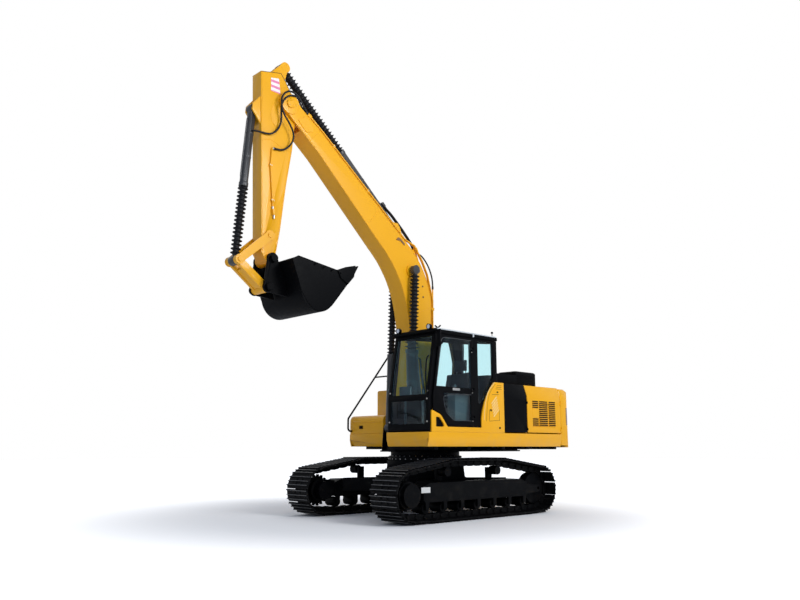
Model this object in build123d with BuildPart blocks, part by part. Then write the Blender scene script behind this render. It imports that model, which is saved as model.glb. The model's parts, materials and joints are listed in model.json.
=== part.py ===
from build123d import *
import math
import os

# Crawler excavator of the 20 to 22 tonne class, in millimetres, parked as it is
# shown: boom raised, arm tucked in, bucket curled with its mouth up.
# x runs forward, y to the cab's side and z up. Places are measured from the swing
# axis; axis_x puts the middle of the machine's length at the origin.

axis_x = -740.0

# undercarriage
track_gauge = 2200.0
shoe_width = 600.0
shoe_count = 45
grouser_height = 26.0
shoe_plate = 14.0
chain_height = 100.0
chain_width = 190.0
sprocket_x = 1635.0
idler_x = -1625.0
end_wheel_z = 432.0
end_loop_radius = 412.0
carrier_xs = (690.0, -590.0)
hump_top_z = 985.0
carrier_radius = 75.0
roller_radius = 82.0
roller_span = 2480.0
roller_count = 7
frame_top_z = 610.0
frame_bottom_z = 312.0
frame_half_width = 165.0
centre_frame_top_z = 930.0
ring_radius = 660.0

# upper structure
deck_half_width = 1355.0
skirt_bottom_z = 1175.0
deck_top_z = 1405.0
deck_front_x = 1285.0
right_deck_front_x = 645.0
deck_rear_x = -2330.0
frame_floor_z = 1085.0
plate = 25.0
cab_inner_y = 385.0
cab_outer_y = deck_half_width - 25.0
cab_rear_x = -470.0
cab_front_x = 1270.0
cab_sill_z = 1425.0
cab_bar_z = 1955.0
cab_roof_z = 3010.0
roof_top_z = 3090.0
roof_front_x = 1150.0
roof_rear_x = -470.0
cab_wall = 50.0
glass = 6.0
door_rear_x = 205.0
door_gap = 6.0
house_front_x = -620.0
house_post_x = -1280.0
house_top_z = 2285.0
shoulder_z = 2080.0
shoulder_y = deck_half_width - 65.0
panel = 35.0
hood_half_width = 700.0
counterweight_rear_x = -2710.0
counterweight_bottom_z = 1160.0
tank_front_x = -50.0
tank_rear_x = -1235.0
tank_split_x = -720.0
tank_inner_y = 430.0
tank_top_z = 2250.0
box_top_z = 1740.0

# boom, in its own frame: u from the foot pin to the tip pin, v square to it
boom_foot_x = 150.0
boom_foot_z = 1940.0
boom_length = 5705.0
boom_angle = 56.57
boom_half_width = 175.0
foot_boss_radius = 150.0
tip_boss_radius = 175.0
slot_half_width = 137.0
slot_radius = 455.0
boom_rod_u = 2203.0
boom_rod_v = 1011.0
arm_base_u = 3010.0
arm_base_v = 1190.0

# boom cylinders
boom_cylinder_y = 285.0
boom_cylinder_x = 620.0
boom_cylinder_z = 1500.0
boom_barrel_radius = 70.0
boom_barrel_length = 1330.0
boom_rod_radius = 42.5

# arm, in its own frame: u from the boom pin to the bucket pin, v forward
arm_length = 2674.0
arm_angle = -84.59
arm_half_width = 125.0
arm_boss_half_width = 130.0
arm_tip_half_width = 158.0
arm_tip_radius = 95.0
arm_ear_u = -651.0
arm_ear_v = 119.0
bucket_base_u = 284.0
bucket_base_v = 580.0
rocker_u = arm_length - 372.0
rocker_v = 65.0
arm_barrel_radius = 80.0
arm_barrel_length = 1720.0
arm_rod_radius = 50.0

# bucket linkage and bucket
rocker_length = 704.0
link_length = 611.0
bucket_pin_span = 460.0
bucket_angle = -82.13
bucket_half_width = 550.0
bucket_shell = 25.0
bucket_barrel_radius = 66.0
bucket_barrel_length = 1330.0
bucket_rod_radius = 40.0
tooth_count = 5

pin_clearance = 0.4
seat_gap = 0.3
fork_near = 95.0
pin_radius = 45.0
bellows_wall = 28.0

side = Plane(origin=(axis_x, 0, 0), x_dir=(1, 0, 0), z_dir=(0, -1, 0))
plan = Plane(origin=(axis_x, 0, 0))


def cut_at_x(x):
    """The cross-section plane at x: across is y, up is z, and it faces forward."""
    return Plane(origin=(axis_x + x, 0, 0), x_dir=(0, 1, 0), z_dir=(1, 0, 0))


def member_plane(base, place, angle):
    """A member's own frame in the side view, at a place on a base plane."""
    turn = math.radians(angle)
    origin = base.from_local_coords(Vector(place[0], place[1], 0))
    return Plane(origin=origin, x_dir=(math.cos(turn), 0, math.sin(turn)), z_dir=(0, -1, 0))


def plane_between(start, end):
    """A side-view frame whose x axis runs from one pin to another."""
    return Plane(origin=start, x_dir=(end - start).normalized(), z_dir=(0, -1, 0))


def pin_at(plane, u, v):
    """The global place of a pin given in a member's frame."""
    return plane.from_local_coords(Vector(u, v, 0))


def slab(plane, points, y_low, y_high, mode=Mode.ADD):
    """A flat plate with a straight-sided outline, between two sideways places."""
    with BuildSketch(plane.offset(-y_high)) as outline:
        with BuildLine():
            Polyline(*points, close=True)
        make_face()
    extrude(outline.sketch, amount=y_high - y_low, mode=mode)


def cross_bar(plane, u, v, radius, y_low, y_high, mode=Mode.ADD):
    """A pin, boss or bore that runs across the machine."""
    with BuildSketch(plane.offset(-y_high)) as disc:
        with Locations((u, v)):
            Circle(radius)
    extrude(disc.sketch, amount=y_high - y_low, mode=mode)


def round_bar(plane, start, end, radius, y, mode=Mode.ADD):
    """A round bar along a member's x axis, at a sideways place."""
    base = Plane(origin=plane.from_local_coords(Vector(start, 0, -y)), z_dir=plane.x_dir)
    with BuildSketch(base) as disc:
        Circle(radius)
    extrude(disc.sketch, amount=end - start, mode=mode)


def block(x_low, x_high, y_low, y_high, z_low, z_high, mode=Mode.ADD):
    """A rectangular block between six places."""
    with BuildSketch(plan.offset(z_low)) as base:
        with Locations(((x_low + x_high) / 2, (y_low + y_high) / 2)):
            Rectangle(x_high - x_low, y_high - y_low)
    extrude(base.sketch, amount=z_high - z_low, mode=mode)


def both_sides(near, far):
    """The y ranges of a pair of like plates, on the left and on the right."""
    return ((near, far), (-far, -near))


os.makedirs("parts", exist_ok=True)

# The track loop follows the wheels that carry it: sprocket in front, idler behind,
# two carrier rollers on top and the flat run over the track rollers.
pitch_offset = grouser_height + shoe_plate + chain_height / 2
chain_inner = pitch_offset + chain_height / 2
end_wheel_radius = end_loop_radius - chain_inner
carrier_z = hump_top_z - chain_inner - carrier_radius
roller_z = chain_inner + roller_radius
loop_wheels = (
    # x, height of the wheel's centre, radius of the wheel
    (sprocket_x, end_wheel_z, end_wheel_radius),
    (idler_x, end_wheel_z, end_wheel_radius),
    (carrier_xs[0], carrier_z, carrier_radius),
    (carrier_xs[1], carrier_z, carrier_radius),
    (roller_span / 2, roller_z, roller_radius),
    (-roller_span / 2, roller_z, roller_radius),
)


def loop_face(grow):
    """The area inside a belt that lies outside the wheels' treads by grow."""
    with BuildSketch() as area:
        for wheel_x, wheel_z, wheel_radius in loop_wheels:
            with Locations((wheel_x, wheel_z)):
                Circle(wheel_radius + grow)
        make_hull()
    return area.sketch


middle_line = loop_face(chain_height / 2).face().outer_wire()
shoe_pitch = middle_line.length / shoe_count
plate_low = chain_height / 2
plate_high = plate_low + shoe_plate
shoe_tip = plate_high + grouser_height
shoe_profile = (
    # along the track in shoe pitches, outward from the chain's middle line
    (-0.48, plate_high), (-0.42, plate_high), (-0.38, shoe_tip), (-0.33, plate_high),
    (-0.045, plate_high), (0, shoe_tip), (0.045, plate_high),
    (0.33, plate_high), (0.38, shoe_tip), (0.42, plate_high), (0.48, plate_high),
)


def shoe_outline():
    """The outer outline of all the shoes, walked round the loop in the side view."""
    inner_spot = Vector(0, end_wheel_z, 0)
    points = []
    for index in range(shoe_count):
        share = (index + 0.5) / shoe_count
        centre = middle_line.position_at(share)
        ahead = middle_line.tangent_at(share)
        outward = Vector(ahead.Y, -ahead.X, 0)
        if outward.dot(centre - inner_spot) < 0:
            outward = outward * -1
        for along, out in shoe_profile:
            spot = centre + ahead * (along * shoe_pitch) + outward * out
            points.append((spot.X, spot.Y))
    return points


track_points = shoe_outline()
for name, track_y in (("track_left", track_gauge / 2), ("track_right", -track_gauge / 2)):
    with BuildPart() as track:
        slab(side, track_points, track_y - shoe_width / 2, track_y + shoe_width / 2)
        with BuildSketch(side.offset(-track_y - shoe_width / 2)) as inside:
            add(loop_face(chain_height))
        extrude(inside.sketch, amount=shoe_width, mode=Mode.SUBTRACT)
        with BuildSketch(side.offset(-track_y - chain_width / 2)) as chain:
            add(loop_face(chain_height + 1))
            add(loop_face(0), mode=Mode.SUBTRACT)
        extrude(chain.sketch, amount=chain_width)
    track.part.label = name
    export_step(track.part, f"parts/{name}.step")

# Sprockets drive the chain from the front; their hubs are the final drives, and the
# travel motors stand inside them.
sprocket_gap = 0.3
tread_radius = end_wheel_radius - sprocket_gap
with BuildPart() as sprockets:
    for track_y in (track_gauge / 2, -track_gauge / 2):
        cross_bar(side, sprocket_x, end_wheel_z, tread_radius, track_y - 30, track_y + 30)
sprockets.part.label = "sprockets"
export_step(sprockets.part, "parts/sprockets.step")

drive_radius = 210.0
motor_radius = 150.0
drive_face = 230.0
with BuildPart() as final_drives:
    for outward in (1, -1):
        track_y = outward * track_gauge / 2
        for radius, near, far in ((drive_radius, 30, 150), (drive_radius - 30, 150, drive_face),
                                  (motor_radius, -300, -30)):
            low, high = sorted((track_y + outward * near, track_y + outward * far))
            cross_bar(side, sprocket_x, end_wheel_z, radius, low, high)
final_drives.part.label = "final_drives"
export_step(final_drives.part, "parts/final_drives.step")

with BuildPart() as idlers:
    for track_y in (track_gauge / 2, -track_gauge / 2):
        cross_bar(side, idler_x, end_wheel_z, tread_radius, track_y - 80, track_y + 80)
        cross_bar(side, idler_x, end_wheel_z, 60, track_y - fork_near + seat_gap, track_y + fork_near - seat_gap)
idlers.part.label = "idlers"
export_step(idlers.part, "parts/idlers.step")

# Rollers: a row under each track frame and two on top of it that carry the chain back.
roller_half_width = 120.0
post_near = 90.0
post_far = 150.0
roller_pitch = roller_span / (roller_count - 1)
with BuildPart() as rollers:
    for track_y in (track_gauge / 2, -track_gauge / 2):
        for index in range(roller_count):
            roller_x = -roller_span / 2 + index * roller_pitch
            cross_bar(side, roller_x, roller_z, roller_radius - sprocket_gap,
                      track_y - roller_half_width, track_y + roller_half_width)
    for outward in (1, -1):
        track_y = outward * track_gauge / 2
        for roller_x in carrier_xs:
            low, high = sorted((track_y - outward * 60, track_y + outward * 100))
            cross_bar(side, roller_x, carrier_z, carrier_radius - sprocket_gap, low, high)
            low, high = sorted((track_y - outward * post_far, track_y - outward * 60))
            cross_bar(side, roller_x, carrier_z, 35, low, high)
            low, high = sorted((track_y - outward * post_far, track_y - outward * post_near))
            block(roller_x - 60, roller_x + 60, low, high, frame_top_z + seat_gap, carrier_z + 50)
rollers.part.label = "rollers"
export_step(rollers.part, "parts/rollers.step")

# Each track frame is a box beam: fork for the idler behind, motor bracket in front,
# and collars below that hold the rollers' axles.
frame_front_x = sprocket_x - tread_radius - 40.0
frame_back_x = idler_x + tread_radius + 40.0
bracket_near = 100.0
bracket_far = 150.0
tie_hole_radius = 32.0
with BuildPart() as track_frames:
    for outward in (1, -1):
        track_y = outward * track_gauge / 2
        left, right = track_y - frame_half_width, track_y + frame_half_width
        slab(side, ((frame_back_x, frame_bottom_z + 40), (frame_back_x + 30, frame_bottom_z),
                    (frame_front_x - 30, frame_bottom_z), (frame_front_x, frame_bottom_z + 40),
                    (frame_front_x, frame_top_z - 60), (frame_front_x - 150, frame_top_z),
                    (frame_back_x + 150, frame_top_z), (frame_back_x, frame_top_z - 60)), left, right)
        for near, far in both_sides(fork_near, frame_half_width):
            slab(side, ((frame_back_x + 5, end_wheel_z + 90), (frame_back_x + 5, end_wheel_z - 90),
                        (idler_x - 90, end_wheel_z - 55), (idler_x - 90, end_wheel_z + 55)),
                 track_y + near, track_y + far)
        low, high = sorted((track_y - outward * bracket_far, track_y - outward * bracket_near))
        slab(side, ((frame_front_x - 5, frame_bottom_z + 30), (sprocket_x, end_wheel_z - motor_radius - 45),
                    (sprocket_x, end_wheel_z + motor_radius + 45), (frame_front_x - 5, frame_top_z - 20)),
             low, high)
        cross_bar(side, sprocket_x, end_wheel_z, motor_radius + 45, low, high)
        cross_bar(side, sprocket_x, end_wheel_z, motor_radius + seat_gap, low, high, Mode.SUBTRACT)
        for index in range(roller_count):
            roller_x = -roller_span / 2 + index * roller_pitch
            for near, far in both_sides(roller_half_width + seat_gap, frame_half_width):
                block(roller_x - 40, roller_x + 40, track_y + near, track_y + far,
                      roller_z - 30, frame_bottom_z + 5)
        low, high = sorted((track_y + outward * fork_near, track_y + outward * frame_half_width))
        cross_bar(side, idler_x - 35, end_wheel_z, tie_hole_radius, low, high, Mode.SUBTRACT)
track_frames.part.label = "track_frames"
export_step(track_frames.part, "parts/track_frames.step")

# The centre frame is a box under the swing ring with four legs to the track frames.
leg_end_y = track_gauge / 2 - frame_half_width - seat_gap
with BuildPart() as centre_frame:
    with BuildSketch(plan.offset(450)) as box_plan:
        RegularPolygon(780, 8, rotation=22.5)
    extrude(box_plan.sketch, amount=centre_frame_top_z - 60 - 450, taper=6)
    with BuildSketch(plan.offset(centre_frame_top_z - 70)) as seat_disc:
        Circle(ring_radius + 30)
    extrude(seat_disc.sketch, amount=70)
    for forward in (1, -1):
        for outward in (1, -1):
            with BuildSketch(plan.offset(400)) as leg_plan:
                with BuildLine():
                    Polyline((forward * 200, outward * 500), (forward * 560, outward * 350),
                             (forward * 1150, outward * leg_end_y), (forward * 620, outward * leg_end_y),
                             close=True)
                make_face()
            extrude(leg_plan.sketch, amount=230)
centre_frame.part.label = "centre_frame"
export_step(centre_frame.part, "parts/centre_frame.step")

ring_split_z = centre_frame_top_z + 80.0
with BuildPart() as swing_ring:
    with BuildSketch(plan.offset(centre_frame_top_z + seat_gap)) as ring_plan:
        Circle(ring_radius)
        Circle(ring_radius - 120, mode=Mode.SUBTRACT)
    extrude(ring_plan.sketch, amount=ring_split_z - centre_frame_top_z - seat_gap)
swing_ring.part.label = "swing_ring"
export_step(swing_ring.part, "parts/swing_ring.step")

# The upper frame carries everything that swings: a floor plate on the ring, two tall
# webs that hold the boom's foot and its cylinders, and outriggers to the side decks.
web_near = boom_half_width + 9.0
web_far = web_near + plate
cylinder_eye_half = 48.0
skirt = 35.0
ear_near = boom_cylinder_y + cylinder_eye_half + 3.0
ear_far = ear_near + 20.0
side_deck_inner_y = ear_far + 6.0
beam_xs = (1050.0, 250.0, -650.0, -1350.0, -2200.0)
with BuildPart() as main_frame:
    with BuildSketch(plan.offset(ring_split_z + seat_gap)) as ring_plan:
        Circle(ring_radius - 40)
    extrude(ring_plan.sketch, amount=frame_floor_z - ring_split_z)
    block(deck_rear_x, boom_cylinder_x + 150, -side_deck_inner_y, side_deck_inner_y,
          frame_floor_z, frame_floor_z + plate)
    for low, high in both_sides(web_near, web_far):
        slab(side, ((boom_cylinder_x + 130, frame_floor_z + 5), (boom_cylinder_x + 95, boom_cylinder_z),
                    (boom_cylinder_x + 40, boom_cylinder_z + 95), (boom_foot_x + 190, boom_foot_z - 60),
                    (boom_foot_x + 110, boom_foot_z + 120), (boom_foot_x - 60, boom_foot_z + 130),
                    (boom_foot_x - 200, boom_foot_z - 30), (-430, 1395), (-1400, 1330),
                    (deck_rear_x, 1330), (deck_rear_x, frame_floor_z + 5)), low, high)
    for low, high in both_sides(ear_near, ear_far):
        slab(side, ((boom_cylinder_x + 120, frame_floor_z + 5), (boom_cylinder_x + 85, boom_cylinder_z),
                    (boom_cylinder_x, boom_cylinder_z + 85), (boom_cylinder_x - 85, boom_cylinder_z),
                    (boom_cylinder_x - 150, frame_floor_z + 5)), low, high)
    for beam_x in beam_xs:
        for low, high in both_sides(side_deck_inner_y - 5, deck_half_width - 2 * skirt - seat_gap):
            if beam_x < right_deck_front_x or low > 0:
                block(beam_x - 45, beam_x + 45, low, high, frame_floor_z + 40, deck_top_z - plate - seat_gap)
        if beam_x < right_deck_front_x:
            block(beam_x - 45, beam_x + 45, -side_deck_inner_y, side_deck_inner_y,
                  frame_floor_z + plate - 1, frame_floor_z + 90)
    block(right_deck_front_x, beam_xs[0] + 45, web_far, side_deck_inner_y, frame_floor_z, frame_floor_z + 90)
    cross_bar(side, boom_foot_x, boom_foot_z, pin_radius, -web_far - 20, web_far + 20)
    for low, high in both_sides(web_near, ear_far):
        cross_bar(side, boom_cylinder_x, boom_cylinder_z, pin_radius, low, high)
main_frame.part.label = "main_frame"
export_step(main_frame.part, "parts/main_frame.step")

# Side decks: a top plate with a folded skirt along its outer edge and its front.
skirt_fold_z = 1290.0
deck_table = (
    # side, front edge
    (1, deck_front_x),
    (-1, right_deck_front_x),
)
with BuildPart() as side_decks:
    for outward, deck_edge_x in deck_table:
        low, high = sorted((outward * side_deck_inner_y, outward * deck_half_width))
        block(deck_rear_x, deck_edge_x, low, high, deck_top_z - plate, deck_top_z)
        with BuildSketch(cut_at_x(deck_rear_x)) as skirt_section:
            with BuildLine():
                Polyline((outward * deck_half_width, deck_top_z - 1),
                         (outward * deck_half_width, skirt_fold_z),
                         (outward * (deck_half_width - 35), skirt_bottom_z),
                         (outward * (deck_half_width - 35 - skirt), skirt_bottom_z),
                         (outward * (deck_half_width - skirt), skirt_fold_z),
                         (outward * (deck_half_width - skirt), deck_top_z - 1), close=True)
            make_face()
        extrude(skirt_section.sketch, amount=deck_edge_x - deck_rear_x)
        low, high = sorted((outward * side_deck_inner_y, outward * (deck_half_width - skirt - 1)))
        slab(side, ((deck_edge_x - skirt, deck_top_z - 1), (deck_edge_x, deck_top_z - 1),
                    (deck_edge_x, skirt_fold_z), (deck_edge_x - 35, skirt_bottom_z),
                    (deck_edge_x - 35 - skirt, skirt_bottom_z), (deck_edge_x - skirt, skirt_fold_z)), low, high)
side_decks.part.label = "side_decks"
export_step(side_decks.part, "parts/side_decks.step")

# The counterweight is one casting across the whole back, rounded towards its corners.
cheek_x = deck_rear_x - seat_gap
casting_top_z = house_top_z - 15.0
casting_corner = 200.0
back_x = counterweight_rear_x + 35.0
corner_x = back_x + casting_corner
corner_y = deck_half_width - casting_corner
bend_x = corner_x - casting_corner * 0.7071
bend_y = corner_y + casting_corner * 0.7071
with BuildPart() as counterweight:
    with BuildSketch(plan.offset(counterweight_bottom_z)) as casting_plan:
        with BuildLine():
            Line((cheek_x, -deck_half_width), (cheek_x, deck_half_width))
            Line((cheek_x, deck_half_width), (corner_x, deck_half_width))
            ThreePointArc((corner_x, deck_half_width), (bend_x, bend_y), (back_x, corner_y))
            ThreePointArc((back_x, corner_y), (counterweight_rear_x, 0), (back_x, -corner_y))
            ThreePointArc((back_x, -corner_y), (bend_x, -bend_y), (corner_x, -deck_half_width))
            Line((corner_x, -deck_half_width), (cheek_x, -deck_half_width))
        make_face()
    extrude(casting_plan.sketch, amount=casting_top_z - counterweight_bottom_z)
    slab(side, ((cheek_x, counterweight_bottom_z), (counterweight_rear_x + 110, counterweight_bottom_z),
                (counterweight_rear_x, counterweight_bottom_z + 60), (counterweight_rear_x, 1960),
                (counterweight_rear_x + 40, 2085), (counterweight_rear_x + 100, 2205),
                (counterweight_rear_x + 190, casting_top_z), (cheek_x, casting_top_z)),
         -deck_half_width, deck_half_width, Mode.INTERSECT)
    with BuildSketch(cut_at_x(counterweight_rear_x)) as end_view:
        with BuildLine():
            Polyline((deck_half_width - 35, counterweight_bottom_z), (deck_half_width, skirt_fold_z),
                     (deck_half_width, shoulder_z), (shoulder_y, house_top_z), (-shoulder_y, house_top_z),
                     (-deck_half_width, shoulder_z), (-deck_half_width, skirt_fold_z),
                     (35 - deck_half_width, counterweight_bottom_z), close=True)
        make_face()
    extrude(end_view.sketch, amount=cheek_x - counterweight_rear_x, mode=Mode.INTERSECT)
counterweight.part.label = "counterweight"
export_step(counterweight.part, "parts/counterweight.step")

lift_eye_x = cheek_x - 120.0
lift_eye_y = 450.0
lift_eye_radius = 50.0
lift_hole_radius = 26.0
lift_eye_half = 20.0
lift_eye_height = 44.0
with BuildPart() as lifting_eyes:
    for eye_y in (-lift_eye_y, lift_eye_y):
        block(lift_eye_x - 80, lift_eye_x + 80, eye_y - 55, eye_y + 55,
              casting_top_z + seat_gap, casting_top_z + 12)
        block(lift_eye_x - lift_eye_radius, lift_eye_x + lift_eye_radius, eye_y - lift_eye_half,
              eye_y + lift_eye_half, casting_top_z + 11, casting_top_z + lift_eye_height)
        cross_bar(side, lift_eye_x, casting_top_z + lift_eye_height, lift_eye_radius,
                  eye_y - lift_eye_half, eye_y + lift_eye_half)
        cross_bar(side, lift_eye_x, casting_top_z + lift_eye_height, lift_hole_radius,
                  eye_y - lift_eye_half - 1, eye_y + lift_eye_half + 1, Mode.SUBTRACT)
    split(bisect_by=plan.offset(casting_top_z + seat_gap), keep=Keep.TOP)
lifting_eyes.part.label = "lifting_eyes"
export_step(lifting_eyes.part, "parts/lifting_eyes.step")

knuckle_radius = 6.0
knuckle_height = 40.0
house_hinge_y = deck_half_width + 14.0
house_hinge_heights = (1500.0, 1980.0)


def knuckle(x, y, z_low, leaf_x, leaf_y):
    """Half a hinge: a round knuckle with a leaf that runs back to its panel or post."""
    with BuildSketch(plan.offset(z_low)) as hinge_plan:
        with Locations((x, y)):
            Circle(knuckle_radius)
        with Locations(((min(x, leaf_x) + max(x, leaf_x)) / 2, (y + leaf_y) / 2)):
            Rectangle(max(abs(leaf_x - x), 4), max(abs(leaf_y - y), 4))
    extrude(hinge_plan.sketch, amount=knuckle_height)


# The machine house: three frames of the house's section, the fixed roof strips beside
# the engine hood and a bulkhead behind the cab.
house_bottom_z = deck_top_z + seat_gap
left_edge_y = deck_half_width
house_section = (
    # across, height: the outline inside the doors, from the left sill round to the right
    (left_edge_y - panel - 5, house_bottom_z), (left_edge_y - panel - 5, shoulder_z - 10),
    (shoulder_y - panel - 5, house_top_z - panel), (-(shoulder_y - panel - 5), house_top_z - panel),
    (-(left_edge_y - panel - 5), shoulder_z - 10), (-(left_edge_y - panel - 5), house_bottom_z),
)
roof_strip_inner_y = hood_half_width + 5
with BuildPart() as house_frame:
    for frame_x in (house_front_x - 40, house_post_x - 20, deck_rear_x + 5):
        with BuildSketch(cut_at_x(frame_x)) as frame_section:
            with BuildLine():
                Polyline(*house_section, close=True)
            make_face()
            with Locations((0, (house_bottom_z + house_top_z) / 2 - 90)):
                Rectangle(2 * left_edge_y - 300, house_top_z - house_bottom_z - 260, mode=Mode.SUBTRACT)
        extrude(frame_section.sketch, amount=40)
    for low, high in both_sides(roof_strip_inner_y, shoulder_y - panel - 5):
        block(deck_rear_x + 5, house_front_x, low, high, house_top_z - panel - 1, house_top_z)
    block(house_post_x - 20, house_front_x, -roof_strip_inner_y - 1, roof_strip_inner_y + 1,
          house_top_z - panel - 1, house_top_z)
    block(tank_rear_x - 6, house_front_x + 1, -left_edge_y, -tank_inner_y + 6,
          deck_top_z - 1, house_top_z + 1, Mode.SUBTRACT)
    for hinge_x, outward in ((house_post_x + 6, 1), (deck_rear_x + 6, 1), (deck_rear_x + 6, -1)):
        for height in house_hinge_heights:
            knuckle(hinge_x, outward * house_hinge_y, height + seat_gap, hinge_x,
                    outward * (left_edge_y - panel - 10))
house_frame.part.label = "house_frame"
export_step(house_frame.part, "parts/house_frame.step")

# Doors of the machine house: flat below, folded in at the shoulder.
door_table = (
    # name, side, rear edge, front edge, has louvres
    ("house_door_front", 1, house_post_x + 12, house_front_x - 8, False),
    ("house_door_rear", 1, deck_rear_x + 12, house_post_x - 6, True),
    ("pump_door", -1, deck_rear_x + 12, tank_rear_x - 12, True),
)
for name, outward, rear_x, door_edge_x, louvred in door_table:
    with BuildPart() as house_door:
        with BuildSketch(cut_at_x(rear_x)) as door_section:
            with BuildLine():
                Polyline((outward * left_edge_y, deck_top_z + 20), (outward * left_edge_y, shoulder_z),
                         (outward * shoulder_y, house_top_z - 5),
                         (outward * (shoulder_y - panel), house_top_z - 5),
                         (outward * (left_edge_y - panel), shoulder_z - 10),
                         (outward * (left_edge_y - panel), deck_top_z + 20), close=True)
            make_face()
        extrude(door_section.sketch, amount=door_edge_x - rear_x)
        for height in house_hinge_heights:
            knuckle(rear_x - 6, outward * house_hinge_y, height - knuckle_height, rear_x + 20,
                    outward * (left_edge_y - 1))
        if louvred:
            low, high = sorted((outward * (left_edge_y - 12), outward * (left_edge_y + 1)))
            for row in range(9):
                block(door_edge_x - 160 - 690, door_edge_x - 160, low, high,
                      1535 + row * 50, 1535 + row * 50 + 22, Mode.SUBTRACT)
    house_door.part.label = name
    export_step(house_door.part, f"parts/{name}.step")

hood_rear_x = deck_rear_x + 30.0
hood_front_x = house_post_x - 26.0
hood_knuckle_radius = 5.5
with BuildPart() as engine_hood:
    block(hood_rear_x, hood_front_x, -hood_half_width, hood_half_width,
          house_top_z - panel + seat_gap, house_top_z)
    block(hood_rear_x + 120, hood_front_x - 120, -hood_half_width + 120, hood_half_width - 120,
          house_top_z - 1, house_top_z + 45)
    for hinge_y in (-400.0, 400.0):
        cross_bar(side, hood_front_x, house_top_z, hood_knuckle_radius, hinge_y - 45, hinge_y + 45)
engine_hood.part.label = "engine_hood"
export_step(engine_hood.part, "parts/engine_hood.step")

intake_rear_x = -1240.0
louvre_box_rear_x = -1840.0
with BuildPart() as intake_box:
    block(louvre_box_rear_x, intake_rear_x + 1, hood_half_width + 20, shoulder_y - 140,
          house_top_z + seat_gap, house_top_z + 270)
    fillet(intake_box.edges().group_by(Axis.Z)[-1], 50)
    block(intake_rear_x, house_front_x - 10, 330, shoulder_y - 140, house_top_z + seat_gap, house_top_z + 190)
intake_box.part.label = "intake_box"
export_step(intake_box.part, "parts/intake_box.step")

with BuildPart() as exhaust_pipe:
    with BuildSketch(plan.offset(house_top_z + seat_gap)) as pipe_base:
        with Locations((-1800, -880)):
            Circle(75)
    extrude(pipe_base.sketch, amount=40)
    with BuildSketch(plan.offset(house_top_z + 40)) as pipe_body:
        with Locations((-1800, -880)):
            Circle(60)
            Circle(54, mode=Mode.SUBTRACT)
    extrude(pipe_body.sketch, amount=330)
exhaust_pipe.part.label = "exhaust_pipe"
export_step(exhaust_pipe.part, "parts/exhaust_pipe.step")

with BuildPart() as engine_block:
    block(-2150, -1450, -520, 520, deck_top_z + 60, deck_top_z + 720)
    for mount_x in (-2050, -1550):
        for mount_y in (-290, 290):
            block(mount_x - 60, mount_x + 60, mount_y - 55, mount_y + 55,
                  frame_floor_z + plate + seat_gap, deck_top_z + 61)
engine_block.part.label = "engine_block"
export_step(engine_block.part, "parts/engine_block.step")

# Right side: fuel tank, hydraulic tank behind it and the tool box in front of them.
tank_outer_y = deck_half_width - 5
tank_table = (
    # name, rear edge, front edge
    ("fuel_tank", tank_split_x + 4, tank_front_x),
    ("hydraulic_tank", tank_rear_x, tank_split_x - 4),
)
for name, rear_x, tank_edge_x in tank_table:
    with BuildPart() as tank:
        block(rear_x, tank_edge_x, -tank_outer_y, -tank_inner_y, deck_top_z + seat_gap, tank_top_z)
        fillet(tank.edges().filter_by(Axis.X).group_by(Axis.Z)[-1], 45)
        with BuildSketch(plan.offset(tank_top_z - 1)) as cap_plan:
            with Locations(((rear_x + tank_edge_x) / 2, -tank_outer_y + 260)):
                Circle(75)
        extrude(cap_plan.sketch, amount=50)
    tank.part.label = name
    export_step(tank.part, f"parts/{name}.step")

box_rear_x = tank_front_x + 6
box_front_x = right_deck_front_x
box_lid = 130.0
box_nose = 105.0
lid_outer_y = tank_outer_y - 80.0
lid_knuckle_radius = 4.5
with BuildPart() as tool_box:
    block(box_rear_x, box_front_x - 5, -tank_outer_y, -tank_inner_y, deck_top_z + seat_gap, box_top_z)
    fillet(tool_box.edges().filter_by(Axis.Y).group_by(Axis.Z)[-1].group_by(Axis.X)[-1], box_nose)
    block(box_rear_x + 30, box_front_x - 35, -lid_outer_y, -tank_inner_y - 30,
          deck_top_z + 30, box_top_z + 1, Mode.SUBTRACT)
    block(box_rear_x - 1, box_front_x, -lid_outer_y - 5, -tank_inner_y + 1,
          box_top_z - box_lid, box_top_z + 1, Mode.SUBTRACT)
tool_box.part.label = "tool_box"
export_step(tool_box.part, "parts/tool_box.step")

with BuildPart() as tool_box_lid:
    block(box_rear_x, box_front_x - 5, -lid_outer_y, -tank_inner_y,
          box_top_z - box_lid + seat_gap, box_top_z)
    fillet(tool_box_lid.edges().filter_by(Axis.Y).group_by(Axis.Z)[-1].group_by(Axis.X)[-1], box_nose)
    for hinge_y in (-tank_inner_y - 190, -lid_outer_y + 190):
        cross_bar(side, box_rear_x, box_top_z, lid_knuckle_radius, hinge_y - 45, hinge_y + 45)
tool_box_lid.part.label = "tool_box_lid"
export_step(tool_box_lid.part, "parts/tool_box_lid.step")

# The cab: a hollow shell with its windows cut, whose front leans back above the bar.
cab_lean = 170.0 / 1055.0
cab_top_front_x = cab_front_x - (cab_roof_z - cab_bar_z) * cab_lean
window_edge = 65.0


def front_x(z, inset=0.0):
    """Where the cab's front face is at a height, moved back by an inset."""
    return cab_front_x - max(z - cab_bar_z, 0) * cab_lean - inset


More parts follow.
